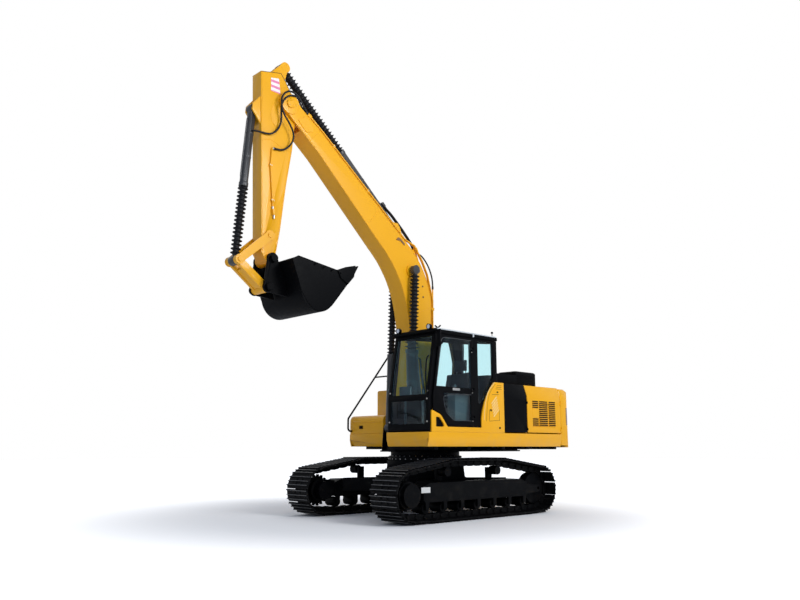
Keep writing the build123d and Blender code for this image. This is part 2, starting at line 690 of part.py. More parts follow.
door_outer_y = deck_half_width
door_inner_y = door_outer_y - 55.0
door_hinge_x = door_rear_x - 12.0
door_hinge_y = door_outer_y + 16.0
door_hinge_heights = (1640.0, 2110.0, 2800.0)
door_top_z = 2985.0
door_outline = (
    (door_rear_x, 1505), (835, 1505), (970, 1664), (1024, 1706), (1185, 1760), (1190, 1955),
    (front_x(door_top_z, 85), door_top_z), (door_rear_x, door_top_z),
)
window_top_z = 2960.0
pane_top_z = door_top_z - 45.0
upper_window = ((door_rear_x + 60, 2140), (1105, 2140), (front_x(pane_top_z - 90, 150), pane_top_z - 90),
                (front_x(pane_top_z, 215), pane_top_z), (door_rear_x + 60, pane_top_z))
lower_window = ((door_rear_x + 60, 1590), (700, 1590), (880, 1710), (945, 1890), (945, 2040),
                (door_rear_x + 60, 2040))
quarter_window = ((-30, 1900), (45, 1900), (45, window_top_z), (-350, window_top_z), (-350, 2360),
                  (-190, 2110))
side_window = ((-340, 2010), (1120, 2010), (front_x(window_top_z, 110), window_top_z), (-340, window_top_z))
front_upper = (2005.0, window_top_z)
front_lower = (1535.0, 1905.0)
rear_window = (2350.0, window_top_z)
with BuildPart() as cab_shell:
    slab(side, ((cab_rear_x, cab_sill_z), (cab_front_x, cab_sill_z), (cab_front_x, cab_bar_z),
                (cab_top_front_x, cab_roof_z), (cab_rear_x, cab_roof_z)), cab_inner_y, cab_outer_y)
    slab(side, ((cab_rear_x + cab_wall, cab_sill_z + 40), (cab_front_x - cab_wall, cab_sill_z + 40),
                (cab_front_x - cab_wall, cab_bar_z), (cab_top_front_x - cab_wall, cab_roof_z + 1),
                (cab_rear_x + cab_wall, cab_roof_z + 1)),
         cab_inner_y + cab_wall, cab_outer_y - cab_wall, Mode.SUBTRACT)
    for low, high in (front_upper, front_lower):
        block(front_x(high) - 80, cab_front_x + 5, cab_inner_y + window_edge, cab_outer_y - window_edge,
              low, high, Mode.SUBTRACT)
    block(cab_rear_x - 5, cab_rear_x + cab_wall + 5, cab_inner_y + window_edge, cab_outer_y - window_edge,
          rear_window[0], rear_window[1], Mode.SUBTRACT)
    slab(side, side_window, cab_inner_y - 5, cab_inner_y + cab_wall + 5, Mode.SUBTRACT)
    slab(side, quarter_window, cab_outer_y - cab_wall - 5, cab_outer_y + 5, Mode.SUBTRACT)
    with BuildSketch(side.offset(-cab_outer_y - 5)) as doorway:
        with BuildLine():
            Polyline(*door_outline, close=True)
        make_face()
        offset(amount=door_gap, kind=Kind.INTERSECTION)
    extrude(doorway.sketch, amount=cab_wall + 10, mode=Mode.SUBTRACT)
    for mount_x in (cab_rear_x + 160, cab_front_x - 180):
        for mount_y in (cab_inner_y + 130, cab_outer_y - 130):
            block(mount_x - 50, mount_x + 50, mount_y - 50, mount_y + 50, deck_top_z + seat_gap, cab_sill_z + 1)
    for height in door_hinge_heights:
        knuckle(door_hinge_x, door_hinge_y, height + seat_gap, door_hinge_x, cab_outer_y - 5)
cab_shell.part.label = "cab_shell"
export_step(cab_shell.part, "parts/cab_shell.step")

with BuildPart() as cab_roof:
    slab(side, ((roof_rear_x, cab_roof_z + seat_gap), (cab_top_front_x, cab_roof_z + seat_gap),
                (roof_front_x, cab_roof_z + 25), (roof_front_x - 10, roof_top_z - 20),
                (roof_front_x - 50, roof_top_z), (roof_rear_x + 40, roof_top_z),
                (roof_rear_x, roof_top_z - 30)), cab_inner_y, cab_outer_y + 20)
cab_roof.part.label = "cab_roof"
export_step(cab_roof.part, "parts/cab_roof.step")

pane_gap = 0.3
with BuildPart() as cab_glass:
    for low, high in (front_upper, front_lower):
        slab(side, ((front_x(low, 20), low + pane_gap), (front_x(high, 20), high - pane_gap),
                    (front_x(high, 20 + glass), high - pane_gap), (front_x(low, 20 + glass), low + pane_gap)),
             cab_inner_y + window_edge + pane_gap, cab_outer_y - window_edge - pane_gap)
    block(cab_rear_x + 20, cab_rear_x + 20 + glass, cab_inner_y + window_edge + pane_gap,
          cab_outer_y - window_edge - pane_gap, rear_window[0] + pane_gap, rear_window[1] - pane_gap)
    for outline, low in ((side_window, cab_inner_y + 20), (quarter_window, cab_outer_y - 26)):
        with BuildSketch(side.offset(-low - glass)) as pane:
            with BuildLine():
                Polyline(*outline, close=True)
            make_face()
            offset(amount=-pane_gap, kind=Kind.INTERSECTION)
        extrude(pane.sketch, amount=glass)
cab_glass.part.label = "cab_glass"
export_step(cab_glass.part, "parts/cab_glass.step")

with BuildPart() as cab_door:
    slab(side, door_outline, door_inner_y, door_outer_y)
    slab(side, upper_window, door_inner_y - 1, door_outer_y + 1, Mode.SUBTRACT)
    slab(side, lower_window, door_inner_y - 1, door_outer_y + 1, Mode.SUBTRACT)
    for height in door_hinge_heights:
        block(door_rear_x, door_rear_x + 45, door_outer_y - 1, door_hinge_y + 3, height - knuckle_height, height)
        knuckle(door_hinge_x, door_hinge_y, height - knuckle_height, door_rear_x + 1, door_hinge_y)
cab_door.part.label = "cab_door"
export_step(cab_door.part, "parts/cab_door.step")

with BuildPart() as door_glass:
    for outline in (upper_window, lower_window):
        with BuildSketch(side.offset(-door_outer_y + 12)) as pane:
            with BuildLine():
                Polyline(*outline, close=True)
            make_face()
            offset(amount=-pane_gap, kind=Kind.INTERSECTION)
        extrude(pane.sketch, amount=glass)
door_glass.part.label = "door_glass"
export_step(door_glass.part, "parts/door_glass.step")

# Yellow panels fixed outside the cab's left wall: the curved quarter cover behind the
# door and the corner piece under the door's cut-off corner.
panel_low_y = cab_outer_y + seat_gap
panel_foot_z = deck_top_z + seat_gap
panel_join_x = door_rear_x - 206.0
with BuildPart() as side_panels:
    with BuildSketch(side.offset(-door_outer_y)) as cover_side:
        with BuildLine():
            Line((panel_join_x, panel_foot_z), (panel_join_x, 1640))
            ThreePointArc((panel_join_x, 1640), (-140, 2020), (-360, house_top_z - 5))
            Polyline((-360, house_top_z - 5), (house_front_x + 4, house_top_z - 5),
                     (house_front_x + 4, panel_foot_z), (panel_join_x, panel_foot_z))
        make_face()
    extrude(cover_side.sketch, amount=door_outer_y - panel_low_y)
    block(house_front_x + 4, cab_rear_x - 6, cab_outer_y - 330, door_outer_y - 1, panel_foot_z, house_top_z - 5)
    slab(side, ((panel_join_x - 1, panel_foot_z), (deck_front_x - 60, panel_foot_z),
                (deck_front_x - 60, 1748), (1200, 1748), (1030, 1690), (986, 1655), (846, 1490),
                (panel_join_x - 1, 1490)), panel_low_y, door_outer_y)
    with BuildSketch(side.offset(-door_outer_y - 1)) as corner_hole:
        with BuildLine():
            Polyline((1124, 1650), (1028, 1636), (936, 1530), (936, 1488), (1124, 1488), close=True)
        make_face()
        fillet(corner_hole.vertices(), 18)
    extrude(corner_hole.sketch, amount=door_outer_y - panel_low_y + 2, mode=Mode.SUBTRACT)
side_panels.part.label = "side_panels"
export_step(side_panels.part, "parts/side_panels.step")

seat_y = (cab_inner_y + cab_outer_y) / 2 + 10
seat_base_top = 1830.0
with BuildPart() as seat_base:
    block(60, 520, seat_y - 210, seat_y + 210, cab_sill_z + 40 + seat_gap, cab_sill_z + 90)
    block(120, 460, seat_y - 160, seat_y + 160, cab_sill_z + 89, seat_base_top)
seat_base.part.label = "seat_base"
export_step(seat_base.part, "parts/seat_base.step")

with BuildPart() as operator_seat:
    block(60, 560, seat_y - 235, seat_y + 235, seat_base_top + seat_gap, seat_base_top + 120)
    slab(side, ((60, seat_base_top + 40), (150, seat_base_top + 60), (60, 2480), (-40, 2480), (-60, 1900)),
         seat_y - 225, seat_y + 225)
    slab(side, ((50, 2478), (45, 2680), (-30, 2680), (-30, 2478)), seat_y - 120, seat_y + 120)
operator_seat.part.label = "operator_seat"
export_step(operator_seat.part, "parts/operator_seat.step")

console_gap = 22.0
with BuildPart() as cab_controls:
    for low, high in ((cab_inner_y + cab_wall + console_gap, seat_y - 255),
                      (seat_y + 255, cab_outer_y - cab_wall - console_gap)):
        block(100, 560, low, high, cab_sill_z + 40 + seat_gap, 2020)
        with BuildSketch(plan.offset(2019)) as lever_base:
            with Locations((480, (low + high) / 2)):
                Circle(18)
        extrude(lever_base.sketch, amount=190)
    for pedal_y in (seat_y - 90, seat_y + 90):
        block(880, 1050, pedal_y - 55, pedal_y + 55, cab_sill_z + 40 + seat_gap, cab_sill_z + 100)
        with BuildSketch(plan.offset(cab_sill_z + 99)) as travel_lever:
            with Locations((900, pedal_y)):
                Circle(14)
        extrude(travel_lever.sketch, amount=640)
    block(1020, 1060, cab_inner_y + cab_wall + 20, cab_inner_y + cab_wall + 260, 1990, 2180)
    block(1030, 1050, cab_inner_y + cab_wall + 120, cab_inner_y + cab_wall + 160,
          cab_sill_z + 40 + seat_gap, 1991)
cab_controls.part.label = "cab_controls"
export_step(cab_controls.part, "parts/cab_controls.step")

lamp_radius = 46.0
with BuildPart() as work_lamps:
    for lamp_y in (510.0, 1235.0):
        with BuildSketch(cut_at_x(roof_front_x - 55)) as lamp_face:
            with Locations((lamp_y, roof_top_z + 25)):
                Circle(lamp_radius)
        extrude(lamp_face.sketch, amount=75)
        block(roof_front_x - 75, roof_front_x - 50, lamp_y - 30, lamp_y + 30,
              roof_top_z + seat_gap, roof_top_z + 45)
    split(bisect_by=plan.offset(roof_top_z + seat_gap), keep=Keep.TOP)
work_lamps.part.label = "work_lamps"
export_step(work_lamps.part, "parts/work_lamps.step")

def bent_tube(plane, y, points, bend, radius):
    """A round rail, pipe or hose in a side-view plane, bent at its inner points."""
    with BuildLine(plane.offset(-y)) as route:
        FilletPolyline(*points, radius=bend)
    start_plane = Plane(origin=route.line @ 0, z_dir=route.line % 0)
    with BuildSketch(start_plane) as tube_section:
        Circle(radius)
    sweep(tube_section.sketch, path=route.line)


def hung_hose(places, bend, radius):
    """A hose through places in space, each given as a member's frame, u, v and y."""
    points = [plane.from_local_coords(Vector(u, v, -y)) for plane, u, v, y in places]
    with BuildLine() as route:
        FilletPolyline(*points, radius=bend)
    start_plane = Plane(origin=route.line @ 0, z_dir=route.line % 0)
    with BuildSketch(start_plane) as hose_section:
        Circle(radius)
    sweep(hose_section.sketch, path=route.line)


rail_radius = 17.0
rail_outer_y = -tank_outer_y + 50
rail_inner_y = -tank_inner_y - 60
with BuildPart() as handrails:
    bent_tube(side, rail_outer_y, ((box_front_x - 5 + seat_gap, 1460), (735, 1460), (735, 1690), (-290, 2945),
                                   (-900, 2945), (-900, tank_top_z + seat_gap)), 60, rail_radius)
    for cross_x, cross_z in ((64, 2511), (-700, 2945)):
        cross_bar(side, cross_x, cross_z, 14, rail_outer_y, rail_outer_y + 420)
    bent_tube(side, rail_outer_y + 420, ((64, 2511), (-290, 2945), (-900, 2945),
                                         (-900, tank_top_z + seat_gap)), 60, rail_radius)
handrails.part.label = "handrails"
export_step(handrails.part, "parts/handrails.step")

mirror_x = 1100.0
mirror_near = door_outer_y + 15
mirror_top_z = roof_top_z - 30
with BuildPart() as mirrors:
    cross_bar(side, mirror_x, mirror_top_z - 15, 12, cab_outer_y + 20 + seat_gap, mirror_near + 10)
    block(mirror_x - 15, mirror_x + 15, mirror_near, mirror_near + 80, mirror_top_z - 290, mirror_top_z)
mirrors.part.label = "mirrors"
export_step(mirrors.part, "parts/mirrors.step")

# The boom: a bent box beam with a boss at its foot and a fork at its tip.
boom_plane = member_plane(side, (boom_foot_x, boom_foot_z), boom_angle)
boom_boss_half_width = boom_half_width + 22.0
boom_tip = pin_at(boom_plane, boom_length, 0)
knee_u = 2750.0
knee_v = 1180.0
back_u = 1500.0
back_v = 1185.0
nose_v = 385.0
arm_plane = member_plane(Plane(origin=boom_tip, x_dir=(1, 0, 0), z_dir=(0, -1, 0)), (0, 0), arm_angle)
with BuildPart() as boom:
    with BuildSketch(boom_plane.offset(-boom_half_width)) as boom_side:
        with BuildLine():
            Polyline((boom_length + 40, -tip_boss_radius + 5), (boom_length + 40, tip_boss_radius - 5),
                     (boom_length - 130, tip_boss_radius + 20), (boom_length - 590, nose_v), (knee_u, knee_v))
            ThreePointArc((knee_u, knee_v), (2150, 1315), (back_u, back_v))
            Line((back_u, back_v), (-60, foot_boss_radius - 12))
            Line((-60, foot_boss_radius - 12), (60, -foot_boss_radius + 12))
            Line((60, -foot_boss_radius + 12), (1600, 512))
            ThreePointArc((1600, 512), (2250, 662), (2900, 582))
            Polyline((2900, 582), (boom_length - 930, 140), (boom_length + 40, -tip_boss_radius + 5))
        make_face()
    extrude(boom_side.sketch, amount=2 * boom_half_width)
    cross_bar(boom_plane, 0, 0, foot_boss_radius, -boom_half_width - 3, boom_half_width + 3)
    cross_bar(boom_plane, boom_rod_u, boom_rod_v, 115, -boom_boss_half_width, boom_boss_half_width)
    for low, high in both_sides(slot_half_width, boom_half_width + 18):
        cross_bar(boom_plane, boom_length, 0, tip_boss_radius, low, high)
    cross_bar(boom_plane, boom_length, 0, slot_radius, -slot_half_width, slot_half_width, Mode.SUBTRACT)
    cross_bar(boom_plane, boom_length, 0, pin_radius, -boom_half_width - 40, boom_half_width + 40)
    cross_bar(boom_plane, 0, 0, pin_radius + pin_clearance, -300, 300, Mode.SUBTRACT)
    arm_base_half = arm_barrel_radius + 12.0
    for low, high in both_sides(arm_base_half, arm_base_half + 30):
        slab(boom_plane, ((arm_base_u - 330, 1130), (arm_base_u - 60, arm_base_v + 65),
                          (arm_base_u + 60, arm_base_v + 65), (arm_base_u + 260, 960)), low, high)
    cross_bar(boom_plane, arm_base_u, arm_base_v, pin_radius, -arm_base_half - 30, arm_base_half + 30)
boom.part.label = "boom"
export_step(boom.part, "parts/boom.step")

# Every cylinder is a barrel on its base pin and a rod whose eye ends the linkage.
base_pin = pin_at(side, boom_cylinder_x, boom_cylinder_z)
boom_cylinder = plane_between(base_pin, pin_at(boom_plane, boom_rod_u, boom_rod_v))
boom_cylinder_length = (pin_at(boom_plane, boom_rod_u, boom_rod_v) - base_pin).length
arm_base = pin_at(boom_plane, arm_base_u, arm_base_v)
arm_ear = pin_at(arm_plane, arm_ear_u, arm_ear_v)
arm_cylinder = plane_between(arm_base, arm_ear)
arm_cylinder_length = (arm_ear - arm_base).length
bucket_base = pin_at(arm_plane, bucket_base_u, bucket_base_v)
bucket_pin = pin_at(arm_plane, arm_length, 0)
bucket_plane = member_plane(Plane(origin=bucket_pin, x_dir=(1, 0, 0), z_dir=(0, -1, 0)), (0, 0), bucket_angle)
link_pin = pin_at(bucket_plane, bucket_pin_span, 0)
rocker_pin = pin_at(arm_plane, rocker_u, rocker_v)
rocker_reach = (link_pin - rocker_pin).length
rocker_base = plane_between(rocker_pin, link_pin)
rocker_turn = math.degrees(math.acos((rocker_length ** 2 + rocker_reach ** 2 - link_length ** 2)
                                     / (2 * rocker_length * rocker_reach)))
rocker_end = pin_at(rocker_base, rocker_length * math.cos(math.radians(rocker_turn)),
                    rocker_length * math.sin(math.radians(rocker_turn)))
bucket_cylinder = plane_between(bucket_base, rocker_end)
bucket_cylinder_length = (rocker_end - bucket_base).length
rocker_plane = plane_between(rocker_pin, rocker_end)
link_plane = plane_between(rocker_end, link_pin)

arm_ear_near = 62.0
rocker_pin_near = 74.0
cylinder_table = (
    # name, frame, length between pins, sideways places, barrel radius and length, rod radius,
    # half width of the base eye, half width of the rod's eye, eye radius
    ("boom", boom_cylinder, boom_cylinder_length, (boom_cylinder_y, -boom_cylinder_y),
     boom_barrel_radius, boom_barrel_length, boom_rod_radius, cylinder_eye_half, 45.0, 82.0),
    ("arm", arm_cylinder, arm_cylinder_length, (0.0,),
     arm_barrel_radius, arm_barrel_length, arm_rod_radius, arm_barrel_radius, arm_ear_near - seat_gap, 85.0),
    ("bucket", bucket_cylinder, bucket_cylinder_length, (0.0,),
     bucket_barrel_radius, bucket_barrel_length, bucket_rod_radius, bucket_barrel_radius,
     rocker_pin_near - seat_gap, 75.0),
)
gland = 60.0
barrel_start = 105.0
rod_inside = 80.0
pleat_pitch = 76.0
pleat_valley = 6.0
port_start = 430.0
port_end = 520.0
port_rise = 34.0
port_near = -5.0
port_far = 85.0
for (member, frame, length, places, barrel_radius, barrel_length, rod_radius,
     base_half, eye_half, eye_radius) in cylinder_table:
    with BuildPart() as barrel:
        for y in places:
            round_bar(frame, barrel_start, barrel_length, barrel_radius, y)
            round_bar(frame, barrel_length - gland, barrel_length, barrel_radius + 8, y)
            cross_bar(frame, 0, 0, eye_radius, y - base_half, y + base_half)
            slab(frame, ((0, 50), (barrel_start + 5, 50), (barrel_start + 5, -50), (0, -50)),
                 y - base_half + 5, y + base_half - 5)
            cross_bar(frame, 0, 0, pin_radius + pin_clearance, y - base_half - 1, y + base_half + 1,
                      Mode.SUBTRACT)
            round_bar(frame, barrel_start + 60, barrel_length + 1, rod_radius + pin_clearance, y, Mode.SUBTRACT)
            if member == "arm":
                slab(frame, ((port_start, barrel_radius - 8), (port_end, barrel_radius - 8),
                             (port_end, barrel_radius + port_rise), (port_start, barrel_radius + port_rise)),
                     port_near, port_far)
    barrel.part.label = f"{member}_barrel"
    export_step(barrel.part, f"parts/{member}_barrel.step")

    with BuildPart() as rod:
        for y in places:
            round_bar(frame, barrel_length - gland - rod_inside, length - 40, rod_radius, y)
            cross_bar(frame, length, 0, eye_radius, y - eye_half, y + eye_half)
            if member == "boom":
                low, high = sorted((math.copysign(boom_boss_half_width + seat_gap, y), y))
                cross_bar(frame, length, 0, pin_radius, low, high)
    rod.part.label = f"{member}_rod"
    export_step(rod.part, f"parts/{member}_rod.step")

    with BuildPart() as bellows:
        sleeve_start = barrel_length + 4
        sleeve_end = length - eye_radius - 12
        pleats = round((sleeve_end - sleeve_start) / pleat_pitch)
        pleat = (sleeve_end - sleeve_start) / pleats
        for y in places:
            with BuildSketch(frame.offset(-y)) as sleeve_half:
                with BuildLine():
                    zigzag = [(sleeve_start + pleat * (index + share), rod_radius + rise)
                              for index in range(pleats)
                              for share, rise in ((0.0, pleat_valley), (0.5, bellows_wall))]
                    Polyline((sleeve_start, rod_radius + seat_gap), *zigzag,
                             (sleeve_end, rod_radius + pleat_valley), (sleeve_end, rod_radius + seat_gap),
                             close=True)
                make_face()
            revolve(sleeve_half.sketch, axis=Axis(frame.from_local_coords(Vector(0, 0, -y)), frame.x_dir))
    bellows.part.label = f"{member}_bellows"
    export_step(bellows.part, f"parts/{member}_bellows.step")

# The arm: a tapered box beam that turns in the boom's fork.
with BuildPart() as arm:
    slab(arm_plane, ((-485, 206), (-362, 581), (-159, 553), (arm_length - 80, 172), (arm_length + 40, 80),
                     (arm_length + 40, -80), (arm_length - 70, -88), (2158, -121), (1383, -137),
                     (752, -175), (60, -165), (-150, -90), (-300, 35)), -arm_half_width, arm_half_width)
    cross_bar(arm_plane, 0, 0, 168, -arm_boss_half_width, arm_boss_half_width)
    cross_bar(arm_plane, arm_length, 0, arm_tip_radius, -arm_tip_half_width, arm_tip_half_width)
    cross_bar(arm_plane, rocker_u, rocker_v, 85, -arm_half_width - 3, arm_half_width + 3)
    cross_bar(arm_plane, rocker_u, rocker_v, 40, -arm_tip_half_width - 12, arm_tip_half_width + 12)
    for low, high in both_sides(arm_ear_near, arm_ear_near + 40):
        slab(arm_plane, ((-300, 120), (arm_ear_u - 60, arm_ear_v - 60), (arm_ear_u - 60, arm_ear_v + 55),
                         (-380, 420)), low, high)
        cross_bar(arm_plane, arm_ear_u, arm_ear_v, 88, low, high)
    slab(arm_plane, ((arm_ear_u + 461, arm_ear_v - 99), (-258, 81), (-443, 252), (-600, 330), (-700, 0),
                     (-300, -60)), -arm_ear_near, arm_ear_near, Mode.SUBTRACT)
    bucket_base_half = bucket_barrel_radius + 12.0
    for low, high in both_sides(bucket_base_half, bucket_base_half + 30):
        slab(arm_plane, ((20, 500), (bucket_base_u - 50, bucket_base_v + 60),
                         (bucket_base_u + 50, bucket_base_v + 60), (560, 430)), low, high)
    cross_bar(arm_plane, bucket_base_u, bucket_base_v, pin_radius, -bucket_base_half - 30, bucket_base_half + 30)
    cross_bar(arm_plane, 0, 0, pin_radius + pin_clearance, -300, 300, Mode.SUBTRACT)
    cross_bar(arm_plane, arm_length, 0, pin_radius + pin_clearance, -300, 300, Mode.SUBTRACT)
arm.part.label = "arm"
export_step(arm.part, "parts/arm.step")

# Hydraulic lines: steel pipes clamped along the boom's top and back and down the arm's
# left side, and hoses where they cross a joint or reach a cylinder.
pipe_radius = 13.0
hose_radius = 14.0
pipe_rise = 30.0
back_rise = 55.0
arm_circuit_ys = (22.0, 60.0)
drain_y = 100.0
bucket_circuit_ys = (140.0, 168.0)


def edge_frame(u, v, next_u, next_v):
    """The frame of one straight edge of the boom, from one of its ends to the other."""
    slope = math.degrees(math.atan2(next_v - v, next_u - u))
    return member_plane(boom_plane, (u, v), boom_angle + slope)


top_plane = edge_frame(knee_u, knee_v, boom_length - 590, nose_v)
nose_plane = edge_frame(boom_length - 590, nose_v, boom_length - 130, tip_boss_radius + 20)
back_plane = edge_frame(back_u, back_v, -60, foot_boss_radius - 12)
top_run = math.hypot(boom_length - 590 - knee_u, nose_v - knee_v)
nose_block_start = 270.0
nose_block_end = 350.0
bank_u = 2480.0
bank_v = 1440.0
bank_length = 80.0
clamp_half = 25.0
with BuildPart() as boom_pipes:
    for pipe_y in bucket_circuit_ys:
        bent_tube(boom_plane, pipe_y, ((boom_length - 320, 306), (boom_length - 590, 416), (2757, 1209),
                                       (2560, 1372), (2216, 1400), (1953, 1378), (1485, 1235), (300, 440)),
                  60, pipe_radius)
    for pipe_y in arm_circuit_ys:
        bent_tube(boom_plane, pipe_y, ((bank_u - 40, bank_v), (2216, 1400), (1953, 1378), (1485, 1235),
                                       (300, 440)), 60, pipe_radius)
    bent_tube(boom_plane, drain_y, ((1640, 1420), (1560, 1366), (1000, 990), (900, 842), (300, 440)),
              60, pipe_radius)
    for share in (0.055, 0.4625, 0.8625):
        slab(top_plane, ((top_run * share - clamp_half, seat_gap), (top_run * share + clamp_half, seat_gap),
                         (top_run * share + clamp_half, pipe_rise + 20),
                         (top_run * share - clamp_half, pipe_rise + 20)),
             bucket_circuit_ys[0] - pipe_radius - 2, bucket_circuit_ys[1] + pipe_radius + 2)
    slab(nose_plane, ((nose_block_start, seat_gap), (nose_block_end, seat_gap),
                      (nose_block_end, pipe_rise + 26), (nose_block_start, pipe_rise + 26)),
         bucket_circuit_ys[0] - pipe_radius, bucket_circuit_ys[1] + pipe_radius + 2)
    for clamp_u in (150.0, 900.0, 1365.0):
        slab(back_plane, ((clamp_u - clamp_half, -seat_gap), (clamp_u + clamp_half, -seat_gap),
                          (clamp_u + clamp_half, -back_rise - 20), (clamp_u - clamp_half, -back_rise - 20)),
             arm_circuit_ys[0] - pipe_radius - 2, bucket_circuit_ys[1] + pipe_radius + 2)
    slab(boom_plane, ((bank_u - 60, 1287), (bank_u + 20, 1287), (bank_u + 20, bank_v + 22),
                      (bank_u - 60, bank_v + 22)),
         arm_circuit_ys[0] - hose_radius - 4, drain_y + hose_radius + 4)
boom_pipes.part.label = "boom_pipes"
export_step(boom_pipes.part, "parts/boom_pipes.step")

with BuildPart() as drain_hose:
    bent_tube(boom_plane, drain_y, ((bank_u - 60 - seat_gap, bank_v), (bank_u - 100, bank_v), (2290, 1515),
                                    (2110, 1560), (1923, 1553), (1760, 1501), (1642, 1421.3)), 40, hose_radius)
drain_hose.part.label = "drain_hose"
export_step(drain_hose.part, "parts/drain_hose.step")

with BuildPart() as arm_cylinder_hoses:
    for hose_y in arm_circuit_ys:
        hung_hose(((arm_cylinder, port_start - seat_gap, arm_barrel_radius + 18, hose_y),
                   (arm_cylinder, port_start - 50, arm_barrel_radius + 18, hose_y),
                   (boom_plane, 3290, 1246, hose_y), (boom_plane, 3127, 1298, hose_y),
                   (boom_plane, 2951, 1350, hose_y), (boom_plane, 2755, 1400, hose_y),
                   (boom_plane, 2610, 1430, hose_y), (boom_plane, bank_u + 62, bank_v, hose_y),
                   (boom_plane, bank_u + 20 + seat_gap, bank_v, hose_y)), 60, hose_radius)
arm_cylinder_hoses.part.label = "arm_cylinder_hoses"
export_step(arm_cylinder_hoses.part, "parts/arm_cylinder_hoses.step")

foot_hose_end_x = -360.0
with BuildPart() as boom_foot_hoses:
    for hose_y in (*arm_circuit_ys, drain_y, *bucket_circuit_ys):
        hung_hose(((boom_plane, 298, 438.6, hose_y), (boom_plane, 190, 366, hose_y),
                   (side, -260, 2200, hose_y), (side, foot_hose_end_x, 1900, hose_y),
                   (side, foot_hose_end_x, frame_floor_z + plate + seat_gap, hose_y)), 60, pipe_radius)
boom_foot_hoses.part.label = "boom_foot_hoses"
export_step(boom_foot_hoses.part, "parts/boom_foot_hoses.step")

arm_pipe_y = arm_half_width + 21.0
arm_pipe_radius = 11.0
arm_hose_radius = 12.0
with BuildPart() as arm_pipe:
    bent_tube(arm_plane, arm_pipe_y, ((862, 190), (862, 218), (1158, 207), (1880, 65)), 12, arm_pipe_radius)
    for clamp_u, clamp_v in ((1158, 207), (1721, 96)):
        slab(arm_plane, ((clamp_u - 18, clamp_v - 24), (clamp_u + 18, clamp_v - 24),
                         (clamp_u + 18, clamp_v + 24), (clamp_u - 18, clamp_v + 24)),
             arm_half_width + seat_gap, arm_pipe_y + arm_pipe_radius + 3)
    slab(arm_plane, ((1862, 40), (1952, 22), (1964, 62), (1872, 90)),
         arm_half_width + seat_gap, arm_pipe_y + arm_pipe_radius + 14)
arm_pipe.part.label = "arm_pipe"
export_step(arm_pipe.part, "parts/arm_pipe.step")

with BuildPart() as arm_hoses:
    hung_hose(((nose_plane, nose_block_end + seat_gap, pipe_rise, bucket_circuit_ys[1]),
               (nose_plane, nose_block_end + 50, pipe_rise, bucket_circuit_ys[1]),
               (boom_plane, 5640, 261, 170), (boom_plane, 5800, 225, 190), (boom_plane, 5902, 90, 210),
               (boom_plane, 5894, -66, 225), (arm_plane, 42, 214, 232), (arm_plane, 247, 147, 232),
               (arm_plane, 353, 15, 230), (arm_plane, 482, -99, 220), (arm_plane, 610, -134, 200),
               (arm_plane, 767, -62, 170), (arm_plane, 855, 60, arm_pipe_y + 2),
               (arm_plane, 862, 188, arm_pipe_y)), 26, arm_hose_radius)
    hung_hose(((nose_plane, nose_block_end + seat_gap, pipe_rise, bucket_circuit_ys[0]),
               (nose_plane, nose_block_end + 50, pipe_rise, bucket_circuit_ys[0]),
               (boom_plane, 5650, 232, 140), (boom_plane, 5772, 196, 208), (boom_plane, 5836, 40, 216),
               (boom_plane, 5807, -107, 220), (arm_plane, 114, 184, 204), (arm_plane, 357, 123, 178),
               (arm_plane, 512, 157, 170), (arm_plane, 630, 244, 160), (arm_plane, 673, 350, 152),
               (arm_plane, 682, 452, 148), (arm_plane, 688, 530, 128), (arm_plane, 688, 573, 96),
               (arm_plane, 688, 574, bucket_barrel_radius + 1)), 18, arm_hose_radius)
arm_hoses.part.label = "arm_hoses"
export_step(arm_hoses.part, "parts/arm_hoses.step")

# Rocker links on both sides of the arm, and the link between them and the bucket.
rocker_near = arm_half_width + 6.0
rocker_far = arm_tip_half_width
bucket_ear_near = arm_tip_half_width + 7.0
with BuildPart() as rocker_links:
    for low, high in both_sides(rocker_near, rocker_far):
        slab(rocker_plane, ((0, 75), (rocker_length, 62), (rocker_length, -62), (0, -75)), low, high)
        cross_bar(rocker_plane, 0, 0, 82, low, high)
        cross_bar(rocker_plane, rocker_length, 0, 75, low, high)
        cross_bar(rocker_plane, 0, 0, 40 + pin_clearance, low - 1, high + 1, Mode.SUBTRACT)
    for low, high in both_sides(rocker_pin_near, rocker_far + 12):
        cross_bar(rocker_plane, rocker_length, 0, 38, low, high)
rocker_links.part.label = "rocker_links"
export_step(rocker_links.part, "parts/rocker_links.step")

with BuildPart() as bucket_link:
    for low, high in both_sides(76, arm_half_width):
        slab(link_plane, ((0, 60), (link_length, 65), (link_length, -65), (0, -60)), low, high)
        cross_bar(link_plane, 0, 0, 72, low, high)
        cross_bar(link_plane, 0, 0, 38 + pin_clearance, low - 1, high + 1, Mode.SUBTRACT)
    slab(link_plane, ((150, 45), (link_length - 60, 55), (link_length - 60, -55), (150, -45)), -78, 78)
    cross_bar(link_plane, link_length, 0, 80, -bucket_ear_near + seat_gap, bucket_ear_near - seat_gap)
bucket_link.part.label = "bucket_link"
export_step(bucket_link.part, "parts/bucket_link.step")

# The bucket: a rolled shell between two side plates, ears for the two pins, side
# cutters and teeth on its lip.
bucket_ear_far = bucket_ear_near + 40.0
link_pin_radius = 42.0


def bucket_profile(inset):
    """The shell's side outline, with its rolled heel, moved in by an inset."""
    with BuildSketch() as profile:
        with BuildLine():
            Line((20, -125), (470, -375))
            ThreePointArc((470, -375), (712, -715), (545, -985))
            Polyline((545, -985), (-35, -1330), (-60, -1180), (-60, -230), (20, -125))
        make_face()
        if inset:
            offset(amount=-inset, kind=Kind.INTERSECTION)
            with BuildLine():
                Polyline((60, -180), (60, -1150), (-200, -1250), (-200, -180), close=True)
            make_face()
    return profile.sketch


